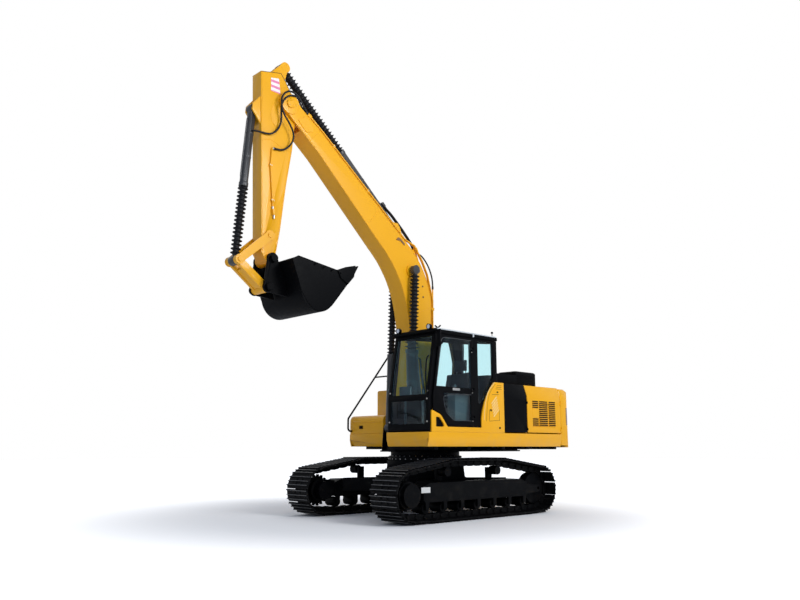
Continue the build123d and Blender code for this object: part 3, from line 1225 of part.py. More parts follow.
with BuildPart() as bucket:
    with BuildSketch(bucket_plane.offset(-bucket_half_width)) as outer_shape:
        add(bucket_profile(0))
    extrude(outer_shape.sketch, amount=2 * bucket_half_width)
    with BuildSketch(bucket_plane.offset(-bucket_half_width + bucket_shell)) as inner_shape:
        add(bucket_profile(bucket_shell))
    extrude(inner_shape.sketch, amount=2 * (bucket_half_width - bucket_shell), mode=Mode.SUBTRACT)
    for low, high in both_sides(bucket_ear_near, bucket_ear_far):
        slab(bucket_plane, ((-75, 45), (60, 85), (bucket_pin_span, 85), (bucket_pin_span + 80, 0),
                            (bucket_pin_span + 60, -370), (300, -280), (0, -100), (-75, -60)), low, high)
        cross_bar(bucket_plane, 0, 0, 95, low, high)
        cross_bar(bucket_plane, bucket_pin_span, 0, 90, low, high)
        cross_bar(bucket_plane, bucket_pin_span, 0, link_pin_radius, low, high, Mode.SUBTRACT)
    cross_bar(bucket_plane, 0, 0, pin_radius, -bucket_ear_far - 20, bucket_ear_far + 20)
    for low, high in both_sides(bucket_half_width - 5, bucket_half_width + 25):
        slab(bucket_plane, ((-60, -1000), (-150, -1150), (-235, -1345), (-40, -1345), (120, -1240), (60, -1080)),
             low, high)
    tooth_pitch = (2 * bucket_half_width - 120) / (tooth_count - 1)
    for index in range(tooth_count):
        tooth_y = -bucket_half_width + 60 + index * tooth_pitch
        slab(bucket_plane, ((60, -1262), (-15, -1345), (-255, -1440), (-262, -1425), (-60, -1270), (30, -1225)),
             tooth_y - 42, tooth_y + 42)
bucket.part.label = "bucket"
export_step(bucket.part, "parts/bucket.step")
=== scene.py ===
import json
import math

import bmesh
import bpy
from mathutils import Matrix, Vector
from mathutils.bvhtree import BVHTree


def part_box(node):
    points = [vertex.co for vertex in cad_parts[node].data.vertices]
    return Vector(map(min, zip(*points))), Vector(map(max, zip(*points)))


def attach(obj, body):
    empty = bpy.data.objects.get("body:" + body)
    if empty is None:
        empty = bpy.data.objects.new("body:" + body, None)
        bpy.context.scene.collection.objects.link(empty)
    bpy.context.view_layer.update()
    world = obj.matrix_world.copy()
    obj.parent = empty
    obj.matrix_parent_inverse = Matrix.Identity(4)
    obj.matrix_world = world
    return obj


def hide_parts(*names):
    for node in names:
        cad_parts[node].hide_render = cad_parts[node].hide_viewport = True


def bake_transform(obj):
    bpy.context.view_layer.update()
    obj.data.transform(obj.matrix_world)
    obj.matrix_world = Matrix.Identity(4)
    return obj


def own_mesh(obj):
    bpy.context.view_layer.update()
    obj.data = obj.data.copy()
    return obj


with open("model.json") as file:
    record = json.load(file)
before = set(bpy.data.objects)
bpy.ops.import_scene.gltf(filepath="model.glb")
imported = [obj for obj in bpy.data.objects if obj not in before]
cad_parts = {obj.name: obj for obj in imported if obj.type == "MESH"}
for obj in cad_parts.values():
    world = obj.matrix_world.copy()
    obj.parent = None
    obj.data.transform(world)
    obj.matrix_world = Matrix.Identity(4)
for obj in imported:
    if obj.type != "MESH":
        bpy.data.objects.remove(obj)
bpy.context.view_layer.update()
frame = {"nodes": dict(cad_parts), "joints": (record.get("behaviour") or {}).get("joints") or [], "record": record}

# The camera stands ahead of the machine's left front corner, at chest height, and looks
# slightly up at it through a moderate wide lens.
scene = bpy.context.scene
joint_place = {joint["name"]: Vector(joint["pos_m"]) for joint in frame["joints"] if "pos_m" in joint}
swing_axis = joint_place["swing"]
camera_yaw = 0.8082
camera_rise = 0.192
camera_ahead = Vector((-math.cos(camera_yaw) * math.cos(camera_rise),
                       -math.sin(camera_yaw) * math.cos(camera_rise), math.sin(camera_rise)))
camera_data = bpy.data.cameras.new("camera")
camera_data.sensor_width = 36.0
camera_data.lens = 34.02
camera = bpy.data.objects.new("camera", camera_data)
camera.location = (swing_axis.x + 9.986, 9.796, 1.168)
camera.rotation_euler = camera_ahead.to_track_quat("-Z", "Y").to_euler()
scene.collection.objects.link(camera)
scene.camera = camera
scene.view_settings.view_transform = "Standard"


# The studio: a wide pale floor that brightens away from the machine, and a sky that is white
# behind the machine and greyer towards the camera, which itself sees plain white. Soft lamps
# hang high on the cab's side, beside the arm and, weakly, ahead of the cab.
class Shade:
    """One value or colour in a material: arithmetic on it adds nodes to its tree."""

    def __init__(self, tree, socket=None):
        self.tree = tree
        self.socket = socket

    def node(self, kind, settings=None, sockets=None, output=0):
        """Adds a node, sets it up, feeds its sockets by name or number, and gives an output."""
        made = self.tree.nodes.new(kind)
        for name, value in (settings or {}).items():
            setattr(made, name, value)
        for name, value in (sockets or {}).items():
            if isinstance(value, Shade):
                self.tree.links.new(value.socket, made.inputs[name])
            elif made.inputs[name].type == "RGBA":
                made.inputs[name].default_value = (*value, 1.0)
            else:
                made.inputs[name].default_value = value
        return Shade(self.tree, made.outputs[output])

    def maths(self, operation, first, second=None):
        sockets = {0: first} if second is None else {0: first, 1: second}
        return self.node("ShaderNodeMath", {"operation": operation}, sockets)

    def __add__(self, other):
        return self.maths("ADD", self, other)

    def __radd__(self, other):
        return self.maths("ADD", other, self)

    def __sub__(self, other):
        return self.maths("SUBTRACT", self, other)

    def __rsub__(self, other):
        return self.maths("SUBTRACT", other, self)

    def __mul__(self, other):
        return self.maths("MULTIPLY", self, other)

    def __rmul__(self, other):
        return self.maths("MULTIPLY", other, self)

    def band(self, low, high):
        """0 below low, 1 above high, and a smooth rise between them."""
        return self.node("ShaderNodeMapRange", {"interpolation_type": "SMOOTHSTEP"},
                         {"Value": self, "From Min": low, "From Max": high})

    def blended(self, first, second):
        """A colour that goes from first to second as this value goes from 0 to 1."""
        return self.node("ShaderNodeMix", {"data_type": "RGBA"}, {0: self, 6: first, 7: second}, 2)

    def noise(self, scale, detail=2.0, stretch=(1.0, 1.0, 1.0)):
        """Noise in the machine's own frame, with its scale per metre."""
        place = self.node("ShaderNodeTexCoord", None, None, 3)
        spread = self.node("ShaderNodeMapping", None, {"Vector": place, "Scale": stretch})
        return self.node("ShaderNodeTexNoise", None, {"Vector": spread, "Scale": scale, "Detail": detail})

    def height(self):
        """How high a point of the piece lies above the ground at rest."""
        place = self.node("ShaderNodeTexCoord", None, None, 3)
        return self.node("ShaderNodeSeparateXYZ", None, {0: place}, 2)


def finish(name, make, **fixed):
    """A material whose varying sockets come from make(shade) and whose others are fixed."""
    material = bpy.data.materials.new(name)
    material.use_nodes = True
    tree = material.node_tree
    shader = tree.nodes["Principled BSDF"]
    for socket, value in fixed.items():
        shader.inputs[socket.replace("_", " ")].default_value = value
    for socket, value in make(Shade(tree)).items():
        if socket == "Bump":
            strength, distance, relief = value
            value = relief.node("ShaderNodeBump", None,
                                {"Strength": strength, "Distance": distance, "Height": relief})
            socket = "Normal"
        tree.links.new(value.socket, shader.inputs[socket])
    return material


black = (0.0, 0.0, 0.0)
white = (1.0, 1.0, 1.0)
bluish_shade = (0.15, 0.20, 0.30)
world = bpy.data.worlds.new("studio")
world.use_nodes = True
sky = Shade(world.node_tree)
toward = sky.node("ShaderNodeTexCoord")
facing = toward.node("ShaderNodeVectorMath", {"operation": "DOT_PRODUCT"},
                     {0: toward, 1: (-math.cos(camera_yaw), -math.sin(camera_yaw), 0.0)}, 1)
sky_colour = facing.band(-0.2, 0.75).blended(bluish_shade, white)
backdrop = sky.node("ShaderNodeLightPath").blended(sky_colour, white)
world.node_tree.links.new(backdrop.socket, world.node_tree.nodes["Background"].inputs["Color"])
scene.world = world
lamp_table = (
    # name, place, aim, width, power
    ("key", (-1.5, 12.0, 9.0), (-0.5, 0.0, 3.0), 5.0, 1000.0),
    ("arm_light", (6.0, 7.5, 8.5), (2.8, 0.0, 6.3), 1.5, 150.0),
    ("fill", (11.0, 4.0, 5.0), (0.0, 0.0, 2.5), 6.0, 55.0),
)
for name, place, aim, width, power in lamp_table:
    lamp_data = bpy.data.lights.new(name, "AREA")
    lamp_data.size = width
    lamp_data.energy = power
    lamp = bpy.data.objects.new(name, lamp_data)
    lamp.location = place
    lamp.rotation_euler = (Vector(aim) - Vector(place)).to_track_quat("-Z", "Y").to_euler()
    scene.collection.objects.link(lamp)
glow_start = 2.6
glow_full = 7.5
glow_power = 0.75


def floor_colours(shade):
    place = shade.node("ShaderNodeTexCoord", None, None, 3)
    away = place.node("ShaderNodeVectorMath", {"operation": "LENGTH"}, {0: place}, 1)
    glow = away.band(glow_start, glow_full) * glow_power * shade.node("ShaderNodeLightPath")
    return {"Roughness": 0.85 + 0.1 * shade.noise(3.0), "Emission Color": glow.blended(black, white)}


floor_paint = finish("studio_floor", floor_colours, Base_Color=(0.93, 0.93, 0.93, 1.0),
                     Emission_Strength=1.0, Specular_IOR_Level=0.1)
floor_mesh = bpy.data.meshes.new("floor")
floor_reach = 60.0
floor_corners = [(x * floor_reach, y * floor_reach, 0) for x, y in ((-1, -1), (1, -1), (1, 1), (-1, 1))]
floor_mesh.from_pydata(floor_corners, [], [(0, 1, 2, 3)])
floor_mesh.materials.append(floor_paint)
studio_floor = bpy.data.objects.new("floor", floor_mesh)
scene.collection.objects.link(studio_floor)


# Tracks: forged chain links on pins carry rolled steel shoes with three grousers, each
# held by four bolts. All of it is painted black and is scuffed where it has worked.
upward = Matrix.Rotation(math.radians(-90), 4, "Y")


def sideways(side):
    """A quarter turn that points the x axis to +y or -y."""
    return Matrix.Rotation(math.radians(90 * side), 4, "Z")


class Work:
    """A piece in the making: every shape is added to one mesh, placed by a local frame."""

    def __init__(self, at=Matrix.Identity(4)):
        self.bm = bmesh.new()
        self.at = at

    def shape(self, corners, faces, at=None):
        """Adds corners and faces given in the local frame."""
        frame_at = self.at if at is None else at
        made = [self.bm.verts.new(frame_at @ Vector(corner)) for corner in corners]
        for face in faces:
            self.bm.faces.new([made[index] for index in face])

    def block(self, low, high):
        """A block between two corners."""
        (x0, y0, z0), (x1, y1, z1) = low, high
        corners = [(x, y, z) for x in (x0, x1) for y in (y0, y1) for z in (z0, z1)]
        ends = ((0, 1, 3, 2), (4, 6, 7, 5))
        sides = ((0, 4, 5, 1), (2, 3, 7, 6), (0, 2, 6, 4), (1, 5, 7, 3))
        self.shape(corners, ends + sides)

    def plate(self, outline, one_side, other_side, at=None):
        """A flat plate: an outline in the local side view, between two sideways places."""
        low, high = sorted((one_side, other_side))
        count = len(outline)
        corners = [(x, low, z) for x, z in outline] + [(x, high, z) for x, z in outline]
        sides = [(i, (i + 1) % count, (i + 1) % count + count, i + count) for i in range(count)]
        self.shape(corners, [tuple(range(count))[::-1], tuple(range(count, 2 * count))] + sides, at)

    def turned(self, profile, steps, at=None, hollow=False):
        """A turned shape about the local x axis, from places along it and radii; hollow is a ring."""
        turns = [math.tau * i / steps for i in range(steps)]
        corners = [(along, radius * math.cos(turn), radius * math.sin(turn))
                   for along, radius in profile for turn in turns]
        rings = len(profile)
        faces = []
        for ring in range(rings if hollow else rings - 1):
            this, onward = ring * steps, (ring + 1) % rings * steps
            faces += [(this + i, this + (i + 1) % steps, onward + (i + 1) % steps, onward + i)
                      for i in range(steps)]
        ends = [tuple(range(steps))[::-1], tuple(range((rings - 1) * steps, rings * steps))]
        self.shape(corners, faces + ([] if hollow else ends), at)

    def copies(self, mesh, places):
        """Adds a mesh once at every place of a list."""
        for place in places:
            before = len(self.bm.verts)
            self.bm.from_mesh(mesh)
            self.bm.verts.ensure_lookup_table()
            for index in range(before, len(self.bm.verts)):
                self.bm.verts[index].co = place @ self.bm.verts[index].co

    def tube(self, route, radius, order, sides):
        """A round tube along a smooth line through the neighbourhood of the route's points."""
        curve = bpy.data.curves.new("route", "CURVE")
        curve.dimensions = "3D"
        curve.bevel_depth = radius
        curve.bevel_resolution = (sides - 4) // 2
        curve.use_fill_caps = True
        curve.resolution_u = 6
        spline = curve.splines.new("NURBS")
        spline.points.add(len(route) - 1)
        for point, place in zip(spline.points, route):
            point.co = (*(self.at @ Vector(place)), 1.0)
        spline.order_u = order
        spline.use_endpoint_u = True
        holder = bpy.data.objects.new("route", curve)
        mesh = bpy.data.meshes.new_from_object(holder)
        self.bm.from_mesh(mesh)
        bpy.data.objects.remove(holder)
        bpy.data.curves.remove(curve)
        bpy.data.meshes.remove(mesh)

    def bolts(self, places, size, at=None):
        """Hexagon heads with washers that stand on the local side face, towards +y or -y."""
        frame_at = self.at if at is None else at
        for x, y, z, side in places:
            spot = frame_at @ Matrix.Translation((x, y, z)) @ sideways(side)
            washer = size * 0.18
            head = ((washer, size * 0.9), (size * 0.75, size * 0.9), (size * 0.85, size * 0.75))
            self.turned(((0, size * 1.15), (washer, size * 1.15)), 16, spot)
            self.turned(head, 6, spot)

    def eased(self, width, angle=30.0, shortest=2.0, segments=1):
        """Rounds every sharp edge that is long enough for it."""
        bmesh.ops.remove_doubles(self.bm, verts=self.bm.verts, dist=0.00001)
        bmesh.ops.dissolve_limit(self.bm, angle_limit=math.radians(0.6),
                                 verts=self.bm.verts, edges=self.bm.edges)
        sharp = [edge for edge in self.bm.edges if len(edge.link_faces) == 2
                 and edge.calc_face_angle(0) > math.radians(angle) and edge.calc_length() > shortest * width]
        bmesh.ops.bevel(self.bm, geom=sharp, offset=width, offset_type="OFFSET", segments=segments,
                        profile=0.7, affect="EDGES", clamp_overlap=False)

    def done(self, name, body, paint, replaces=(), crease=38.0):
        """Turns the work into a piece that wears its finish and rides on its body, if one is given."""
        bmesh.ops.recalc_face_normals(self.bm, faces=self.bm.faces)
        mesh = bpy.data.meshes.new(name)
        self.bm.to_mesh(mesh)
        self.bm.free()
        mesh.polygons.foreach_set("use_smooth", [True] * len(mesh.polygons))
        mesh.set_sharp_from_angle(angle=math.radians(crease))
        mesh.materials.append(paint)
        made = bpy.data.objects.new(name, mesh)
        scene.collection.objects.link(made)
        if body:
            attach(made, body)
        if replaces:
            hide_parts(*replaces)
        return made


def track_paint(shade):
    scuffs = shade.noise(38.0, 4.0).band(0.56, 0.72)
    grime = shade.noise(9.0, 3.0)
    return {"Base Color": scuffs.blended((0.0015, 0.0015, 0.0018), (0.030, 0.028, 0.027)),
            "Roughness": 0.42 + 0.25 * grime,
            "Bump": (0.35, 0.002, shade.noise(160.0, 3.0))}


track_finish = finish("track_finish", track_paint, Specular_IOR_Level=0.1)
shoe_count = 45
chain_half_height = 0.05
shoe_plate = 0.014
grouser = 0.026
shoe_half_width = 0.3
roller_radius = 0.082
carrier_radius = 0.075
drive_low, drive_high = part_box("sprockets")
idler_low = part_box("idlers")[0]
roller_low, roller_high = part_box("rollers")
wheel_radius = (drive_high.z - drive_low.z) / 2
wheel_z = (drive_high.z + drive_low.z) / 2
drive_x = drive_high.x - wheel_radius
roller_z = roller_low.z + roller_radius
carrier_z = roller_high.z - carrier_radius
belt_wheels = (
    # x, height and radius of the wheels, anticlockwise in the side view
    (roller_low.x + roller_radius, roller_z, roller_radius),
    (roller_high.x - roller_radius, roller_z, roller_radius),
    (drive_x, wheel_z, wheel_radius),
    (swing_axis.x + 0.69, carrier_z, carrier_radius),
    (swing_axis.x - 0.59, carrier_z, carrier_radius),
    (idler_low.x + wheel_radius, wheel_z, wheel_radius),
)


def shoe_spots():
    """One place and direction per shoe on the chain's line round the wheels, and their pitch."""
    wheels = [(Vector((x, z)), radius + chain_half_height) for x, z, radius in belt_wheels]
    leaves = []
    for index, (centre, radius) in enumerate(wheels):
        onward, next_radius = wheels[(index + 1) % len(wheels)]
        gap = onward - centre
        leaves.append(math.atan2(gap.y, gap.x) - math.acos((radius - next_radius) / gap.length))
    stretches = []
    for index, (centre, radius) in enumerate(wheels):
        arrives = leaves[index - 1]
        sweep = (leaves[index] - arrives) % math.tau
        stretches.append(("arc", sweep * radius, centre, radius, arrives))
        onward, next_radius = wheels[(index + 1) % len(wheels)]
        out = Vector((math.cos(leaves[index]), math.sin(leaves[index])))
        begin, end = centre + out * radius, onward + out * next_radius
        stretches.append(("run", (end - begin).length, begin, end, leaves[index]))
    total = sum(stretch[1] for stretch in stretches)
    spots = []
    for index in range(shoe_count):
        left = total * (index + 0.5) / shoe_count
        for kind, length, first, second, angle in stretches:
            if left <= length:
                break
            left -= length
        if kind == "arc":
            angle += left / second
            place = first + Vector((math.cos(angle), math.sin(angle))) * second
        else:
            place = first + (second - first) * (left / length)
        spots.append((place, angle))
    return spots, total / shoe_count


chain_spots, pitch = shoe_spots()
shoe_low = chain_half_height
shoe_top = shoe_low + shoe_plate
grouser_top = shoe_top + grouser
shoe_outline = (
    # along the belt in pitches, outward: the rolled section of one shoe
    (-0.66, shoe_low - 0.016), (-0.50, shoe_low - 0.007), (0.42, shoe_low), (0.49, shoe_low + 0.010),
    (0.49, shoe_top + 0.006), (0.44, shoe_top), (0.42, grouser_top), (0.375, grouser_top),
    (0.34, shoe_top), (0.04, shoe_top), (0.022, grouser_top), (-0.022, grouser_top),
    (-0.04, shoe_top), (-0.33, shoe_top), (-0.365, grouser_top), (-0.41, grouser_top),
    (-0.435, shoe_top), (-0.5, shoe_top), (-0.54, shoe_low - 0.001), (-0.66, shoe_low - 0.006),
)
link_points = 20
link_reach = 0.62 * pitch
link_half_height = 0.046
link_half_width = 0.013
link_y = 0.072
pin_end_y = 0.091
link_outline = []
for index in range(link_points):
    turn = math.tau * index / link_points
    waist_in = 1.0 if abs(math.cos(turn)) > 0.5 else 0.9
    waist_down = 1.0 if abs(math.cos(turn)) > 0.3 else 0.92
    link_outline.append((link_reach * math.cos(turn) * waist_in,
                         link_half_height * math.sin(turn) * waist_down))
one_shoe = Work()
one_shoe.plate([(along * pitch, out) for along, out in shoe_outline], -shoe_half_width, shoe_half_width)
one_shoe.eased(0.0022, 25.0, 1.5)
for side in (1, -1):
    one_shoe.plate(link_outline, side * link_y - link_half_width, side * link_y + link_half_width)
    pin_end = Matrix.Translation((pitch / 2, side * pin_end_y, 0)) @ sideways(side)
    one_shoe.turned(((0, 0.024), (0.012, 0.024)), 14, pin_end)
    for bolt_along in (-0.17, 0.19):
        head = Matrix.Translation((bolt_along * pitch, side * link_y, shoe_top)) @ upward
        one_shoe.turned(((0, 0.017), (0.012, 0.017)), 6, head)
one_shoe.turned(((-0.075, 0.02), (0.075, 0.02)), 14, Matrix.Translation((pitch / 2, 0, 0)) @ sideways(1))
shoe_mesh = bpy.data.meshes.new("shoe")
bmesh.ops.recalc_face_normals(one_shoe.bm, faces=one_shoe.bm.faces)
one_shoe.bm.to_mesh(shoe_mesh)


def shoe_places(node):
    """Matrices at a track's spots: x along the belt, z outward."""
    low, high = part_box(node)
    places = []
    for place, angle in chain_spots:
        out = Vector((math.cos(angle), 0.0, math.sin(angle)))
        along = Vector((-out.z, 0.0, out.x))
        turn = Matrix((along, along.cross(out) * -1.0, out)).transposed().to_4x4()
        places.append(Matrix.Translation((place.x, (low.y + high.y) / 2, place.y)) @ turn)
    return places


for node in ("track_left", "track_right"):
    track = Work()
    track.copies(shoe_mesh, shoe_places(node))
    track.done(f"{node}_chain_and_shoes", "undercarriage", track_finish, (node,), 25.0)

# The grousers' tips: the road grinds the paint off their steel, so that each shoe shows
# three thin, dull bright lines. Their light grey is partly bare steel and partly a painted
# highlight where light glints on them.
worn_and_glint_finish = finish("worn_grousers", lambda shade: {
    "Base Color": shade.noise(26.0, 3.0).blended((0.015, 0.015, 0.015), (0.22, 0.22, 0.22)),
    "Roughness": 0.35 + 0.25 * shade.noise(70.0)}, Metallic=0.5)
tip_half_length = 0.0048
tip_half_width = shoe_half_width - 0.004
tip_depth = 0.007
tip_rise = 0.0003
one_tip = Work()
for along in (-0.3875, 0.0, 0.3975):
    one_tip.block((along * pitch - tip_half_length, -tip_half_width, grouser_top - tip_depth),
                  (along * pitch + tip_half_length, tip_half_width, grouser_top + tip_rise))
tip_mesh = bpy.data.meshes.new("grouser_tips")
one_tip.bm.to_mesh(tip_mesh)
for node in ("track_left", "track_right"):
    tips = Work()
    tips.copies(tip_mesh, shoe_places(node))
    tips.done(f"{node}_worn_grousers", "undercarriage", worn_and_glint_finish)


# Sprockets drive the chain with cast teeth and are bolted to the final drives' drums. The
# idlers are flanged wheels and the rollers double-flanged ones. They and the welded track
# and centre frames are painted black.
def black_paint(shade):
    dust = shade.noise(6.0, 5.0).band(0.45, 0.8)
    low_dust = (1.0 - shade.height().band(0.1, 1.2)) * dust
    return {"Base Color": low_dust.blended((0.0012, 0.0014, 0.0020), (0.010, 0.009, 0.008)),
            "Roughness": 0.40 + 0.22 * shade.noise(14.0, 4.0),
            "Bump": (0.12, 0.0015, shade.noise(420.0, 2.0))}


def softened(node, width, paint):
    """A copy of a node with the small round edges of folded and ground plate."""
    body = next(name for name, members in frame["record"]["behaviour"]["bodies"].items() if node in members)
    work = Work()
    work.bm.from_mesh(frame["nodes"][node].data)
    work.eased(width, 28.0, 3.0, 2)
    return work.done(f"{node}_finished", body, paint, (node,))


black_finish = finish("black_paint", black_paint, Specular_IOR_Level=0.07)
tooth_count = 19
tooth_outline = ((-0.5, 0.05), (-0.3, 0.048), (-0.14, 0.004), (0.14, 0.004), (0.3, 0.048))
drum_bolt_count = 20
drum_bolt_circle = 0.188
drum_depth = 0.065
rim_half_width = 0.026
wheels = Work()
for y, side in ((drive_low.y + drum_depth, -1), (drive_high.y - drum_depth, 1)):
    rim = []
    for tooth in range(tooth_count):
        for share, depth in tooth_outline:
            angle = math.tau * (tooth + share) / tooth_count
            rim.append(((wheel_radius - depth) * math.cos(angle), (wheel_radius - depth) * math.sin(angle)))
    sprocket_at = Matrix.Translation((drive_x, y, wheel_z))
    wheels.plate(rim, -rim_half_width, rim_half_width, sprocket_at)
    wheels.turned(((side * 0.027, 0.205), (side * 0.05, 0.2), (side * 0.055, 0.17)), 40,
                  sprocket_at @ sideways(1))
    for index in range(drum_bolt_count):
        angle = math.tau * index / drum_bolt_count
        x, z = drum_bolt_circle * math.cos(angle), drum_bolt_circle * math.sin(angle)
        wheels.bolts(((x, side * 0.05, z, side),), 0.011, sprocket_at)
wheels.done("sprocket_wheels", "undercarriage", black_finish, ("sprockets",), 30.0)
for node, width in (("final_drives", 0.008), ("idlers", 0.006), ("rollers", 0.004), ("track_frames", 0.006),
                    ("centre_frame", 0.008), ("swing_ring", 0.004)):
    softened(node, width, black_finish)


# House, decks, tanks and counterweight: folded sheet and castings in semi-gloss yellow,
# a little dusty low down, with small soft edges where the plate is folded. The frame below,
# the cab, the bucket and small parts are black.
def yellow_paint(shade):
    dust = (shade.noise(4.0, 6.0) * (1.0 - shade.height().band(1.1, 2.6))).band(0.45, 0.9)
    clean = shade.noise(1.3, 2.0).blended((0.86, 0.400, 0.004), (0.92, 0.450, 0.006))
    return {"Base Color": (dust * 0.35).blended(clean, (0.52, 0.36, 0.15)),
            "Roughness": 0.30 + 0.14 * shade.noise(20.0, 4.0),
            "Bump": (0.10, 0.0015, shade.noise(340.0, 2.0))}


yellow_finish = finish("yellow_paint", yellow_paint, Specular_IOR_Level=0.3, Coat_Weight=0.15,
                       Coat_Roughness=0.12)
yellow_edges = (
    # node, width of its rounded edges
    ("house_frame", 0.004), ("side_decks", 0.006), ("counterweight", 0.045), ("side_panels", 0.006),
    ("house_door_rear", 0.005), ("pump_door", 0.005), ("engine_hood", 0.006), ("fuel_tank", 0.008),
    ("hydraulic_tank", 0.008), ("tool_box", 0.008), ("tool_box_lid", 0.006), ("lifting_eyes", 0.003),
    ("boom", 0.006), ("arm", 0.006), ("rocker_links", 0.006), ("bucket_link", 0.006),
    ("boom_pipes", 0.002), ("arm_pipe", 0.002),
)
for node, width in yellow_edges:
    softened(node, width, yellow_finish)
black_edges = (
    # node, width of its rounded edges
    ("main_frame", 0.006), ("house_door_front", 0.005), ("intake_box", 0.015), ("cab_shell", 0.006),
    ("cab_roof", 0.02), ("cab_door", 0.006), ("handrails", 0.002), ("mirrors", 0.012),
    ("bucket", 0.006), ("exhaust_pipe", 0.003), ("engine_block", 0.01),
)
for node, width in black_edges:
    softened(node, width, black_finish)


# Boom: a box beam welded from plate. Beads run along its edges and across its butt joints,
# doubler plates stiffen its fork, and capped pins with keeper bolts carry the arm.
def side_frame(start, end):
    """A member's own frame in the side view: x from start to end, z square to it, y kept."""
    along = (end - start).normalized()
    up = Vector((-along.z, 0.0, along.x))
    turn = Matrix((along, Vector((0.0, 1.0, 0.0)), up)).transposed().to_4x4()
    return Matrix.Translation(start) @ turn


boom_at = side_frame(joint_place["boom_lift"], joint_place["arm_swing"])
boom_length = (joint_place["arm_swing"] - joint_place["boom_lift"]).length
boom_half = 0.175
bead = 0.0045
boom_top = ((-0.06, 0.138), (1.5, 1.185), (1.72, 1.258), (1.95, 1.305), (2.15, 1.315), (2.35, 1.298),
            (2.75, 1.18), (5.115, 0.385), (5.5, 0.225))
boom_bottom = ((0.06, -0.138), (1.6, 0.512), (1.92, 0.622), (2.25, 0.662), (2.58, 0.652), (2.9, 0.582),
               (4.775, 0.14), (5.45, -0.06))
boom_joints = (((5.047, 0.08), (5.114, 0.37)), ((3.34, 0.49), (3.475, 0.925)), ((1.52, 0.50), (1.40, 1.10)))
fork_doubler = ((5.42, 0.20), (5.30, 0.245), (5.17, 0.235), (5.15, 0.20), (5.175, 0.085), (5.215, 0.055),
                (5.42, 0.02))
fork_half = 0.2145
pin_cap_radius = 0.074
keeper_circle = 0.05
beads = Work(boom_at)
for side in (1, -1):
    y = side * boom_half
    for line, shift in ((boom_top, -0.012), (boom_bottom, 0.012)):
        beads.tube([(u, y, v + shift) for u, v in line], bead, 2, 6)
    for line in boom_joints:
        beads.tube([(u, y, v) for u, v in line], bead * 0.8, 2, 6)
    beads.plate(fork_doubler, y, y + side * 0.008)
    cap_at = boom_at @ Matrix.Translation((boom_length, side * fork_half, 0.0)) @ sideways(side)
    beads.turned(((-0.022, pin_cap_radius), (-0.003, pin_cap_radius), (0.0, pin_cap_radius - 0.004)), 32,
                 cap_at)
    beads.bolts([(boom_length + keeper_circle * math.cos(angle), side * fork_half,
                  keeper_circle * math.sin(angle), side) for angle in (0.5, 2.6, 4.7)], 0.009)
beads.done("boom_welds_and_caps", "boom", yellow_finish)

# Boom bracket: a small steel plate stands on the boom's side ahead of its bend, and two
# bolts go through each side plate at the bend. Their zinc has worn off, and they are rusty.
rust_finish = finish("zinc_and_rust", lambda shade: {
    "Base Color": shade.noise(30.0, 4.0).blended((0.30, 0.14, 0.03), (0.18, 0.10, 0.05)),
    "Roughness": 0.5 + 0.2 * shade.noise(50.0)})
bracket_outline = ((2.84, 0.985), (2.86, 1.05), (2.82, 1.10), (2.70, 1.14), (2.665, 1.12), (2.78, 1.07))
bracket = Work(boom_at)
for u, v in ((1.828, 1.13), (1.654, 1.03)):
    bracket.bolts(((u, boom_half, v, 1), (u, -boom_half, v, -1)), 0.016)
bracket.plate(bracket_outline, boom_half, boom_half + 0.01)
bracket.done("boom_bracket_and_bolts", "boom", rust_finish)

# Pipe clamps: steel saddles hold the pipes on the boom's back. Each has a bright bolt on
# its end and one on its top.
fitting_finish = finish("bright_fittings", lambda shade: {
    "Base Color": shade.noise(40.0, 3.0).blended((0.62, 0.60, 0.55), (0.72, 0.70, 0.66)),
    "Roughness": 0.25 + 0.2 * shade.noise(80.0)}, Metallic=0.85)
(back_start_u, back_start_v), (back_end_u, back_end_v) = boom_top[6:8]
back_tilt = Matrix.Rotation(math.atan2(back_start_v - back_end_v, back_end_u - back_start_u), 4, "Y")
clamp_bolts = Work(boom_at)
for share in (0.055, 0.4625, 0.8625):
    spot = Vector((back_start_u, 0, back_start_v)).lerp(Vector((back_end_u, 0, back_end_v)), share)
    clamp_at = boom_at @ Matrix.Translation(spot) @ back_tilt
    clamp_bolts.bolts(((0.0, 0.185, 0.03, 1),), 0.01, clamp_at)
    clamp_bolts.turned(((0.05, 0.012), (0.058, 0.012), (0.060, 0.009)), 6,
                       clamp_at @ Matrix.Translation((0, 0.1535, 0)) @ upward)
clamp_bolts.done("boom_clamp_bolts", "boom", fitting_finish)

# Arm: a tapered box beam with round doublers at its pivot, a butt seam below them and a
# dark line of painted shade along the joint round the closing plate of its top end.
arm_at = side_frame(joint_place["arm_swing"], joint_place["bucket_curl"])
arm_length = (joint_place["bucket_curl"] - joint_place["arm_swing"]).length
arm_half = 0.125
arm_front = ((-0.355, 0.575), (-0.165, 0.545), (1.2, 0.36), (arm_length - 0.1, 0.166))
arm_back = ((-0.15, -0.082), (0.06, -0.157), (0.752, -0.167), (1.383, -0.129), (2.158, -0.113),
            (arm_length - 0.09, -0.082))
butt_seam = ((0.80, 0.39), (0.735, 0.33), (0.72, 0.20), (0.79, 0.04), (0.80, -0.13))
doubler_turns = [math.tau * index / 36 for index in range(36)]
pivot_doubler = [(0.255 + 0.215 * math.cos(turn), 0.175 + 0.13 * math.sin(turn)) for turn in doubler_turns]
closing_line = ((-0.352, 0.578), (-0.484, 0.222), (-0.478, 0.20), (-0.38, 0.105), (-0.30, 0.045),
                (-0.16, -0.075))
# The dark joint lines are painted shade: a darkened yellow drawn where the joints' grooves lie.
seam_shade_finish = finish("dark_seam", lambda shade: {
    "Base Color": shade.noise(60.0).blended((0.05, 0.025, 0.004), (0.16, 0.08, 0.01))}, Roughness=0.7)
arm_trim = Work(arm_at)
joint_line = Work(arm_at)
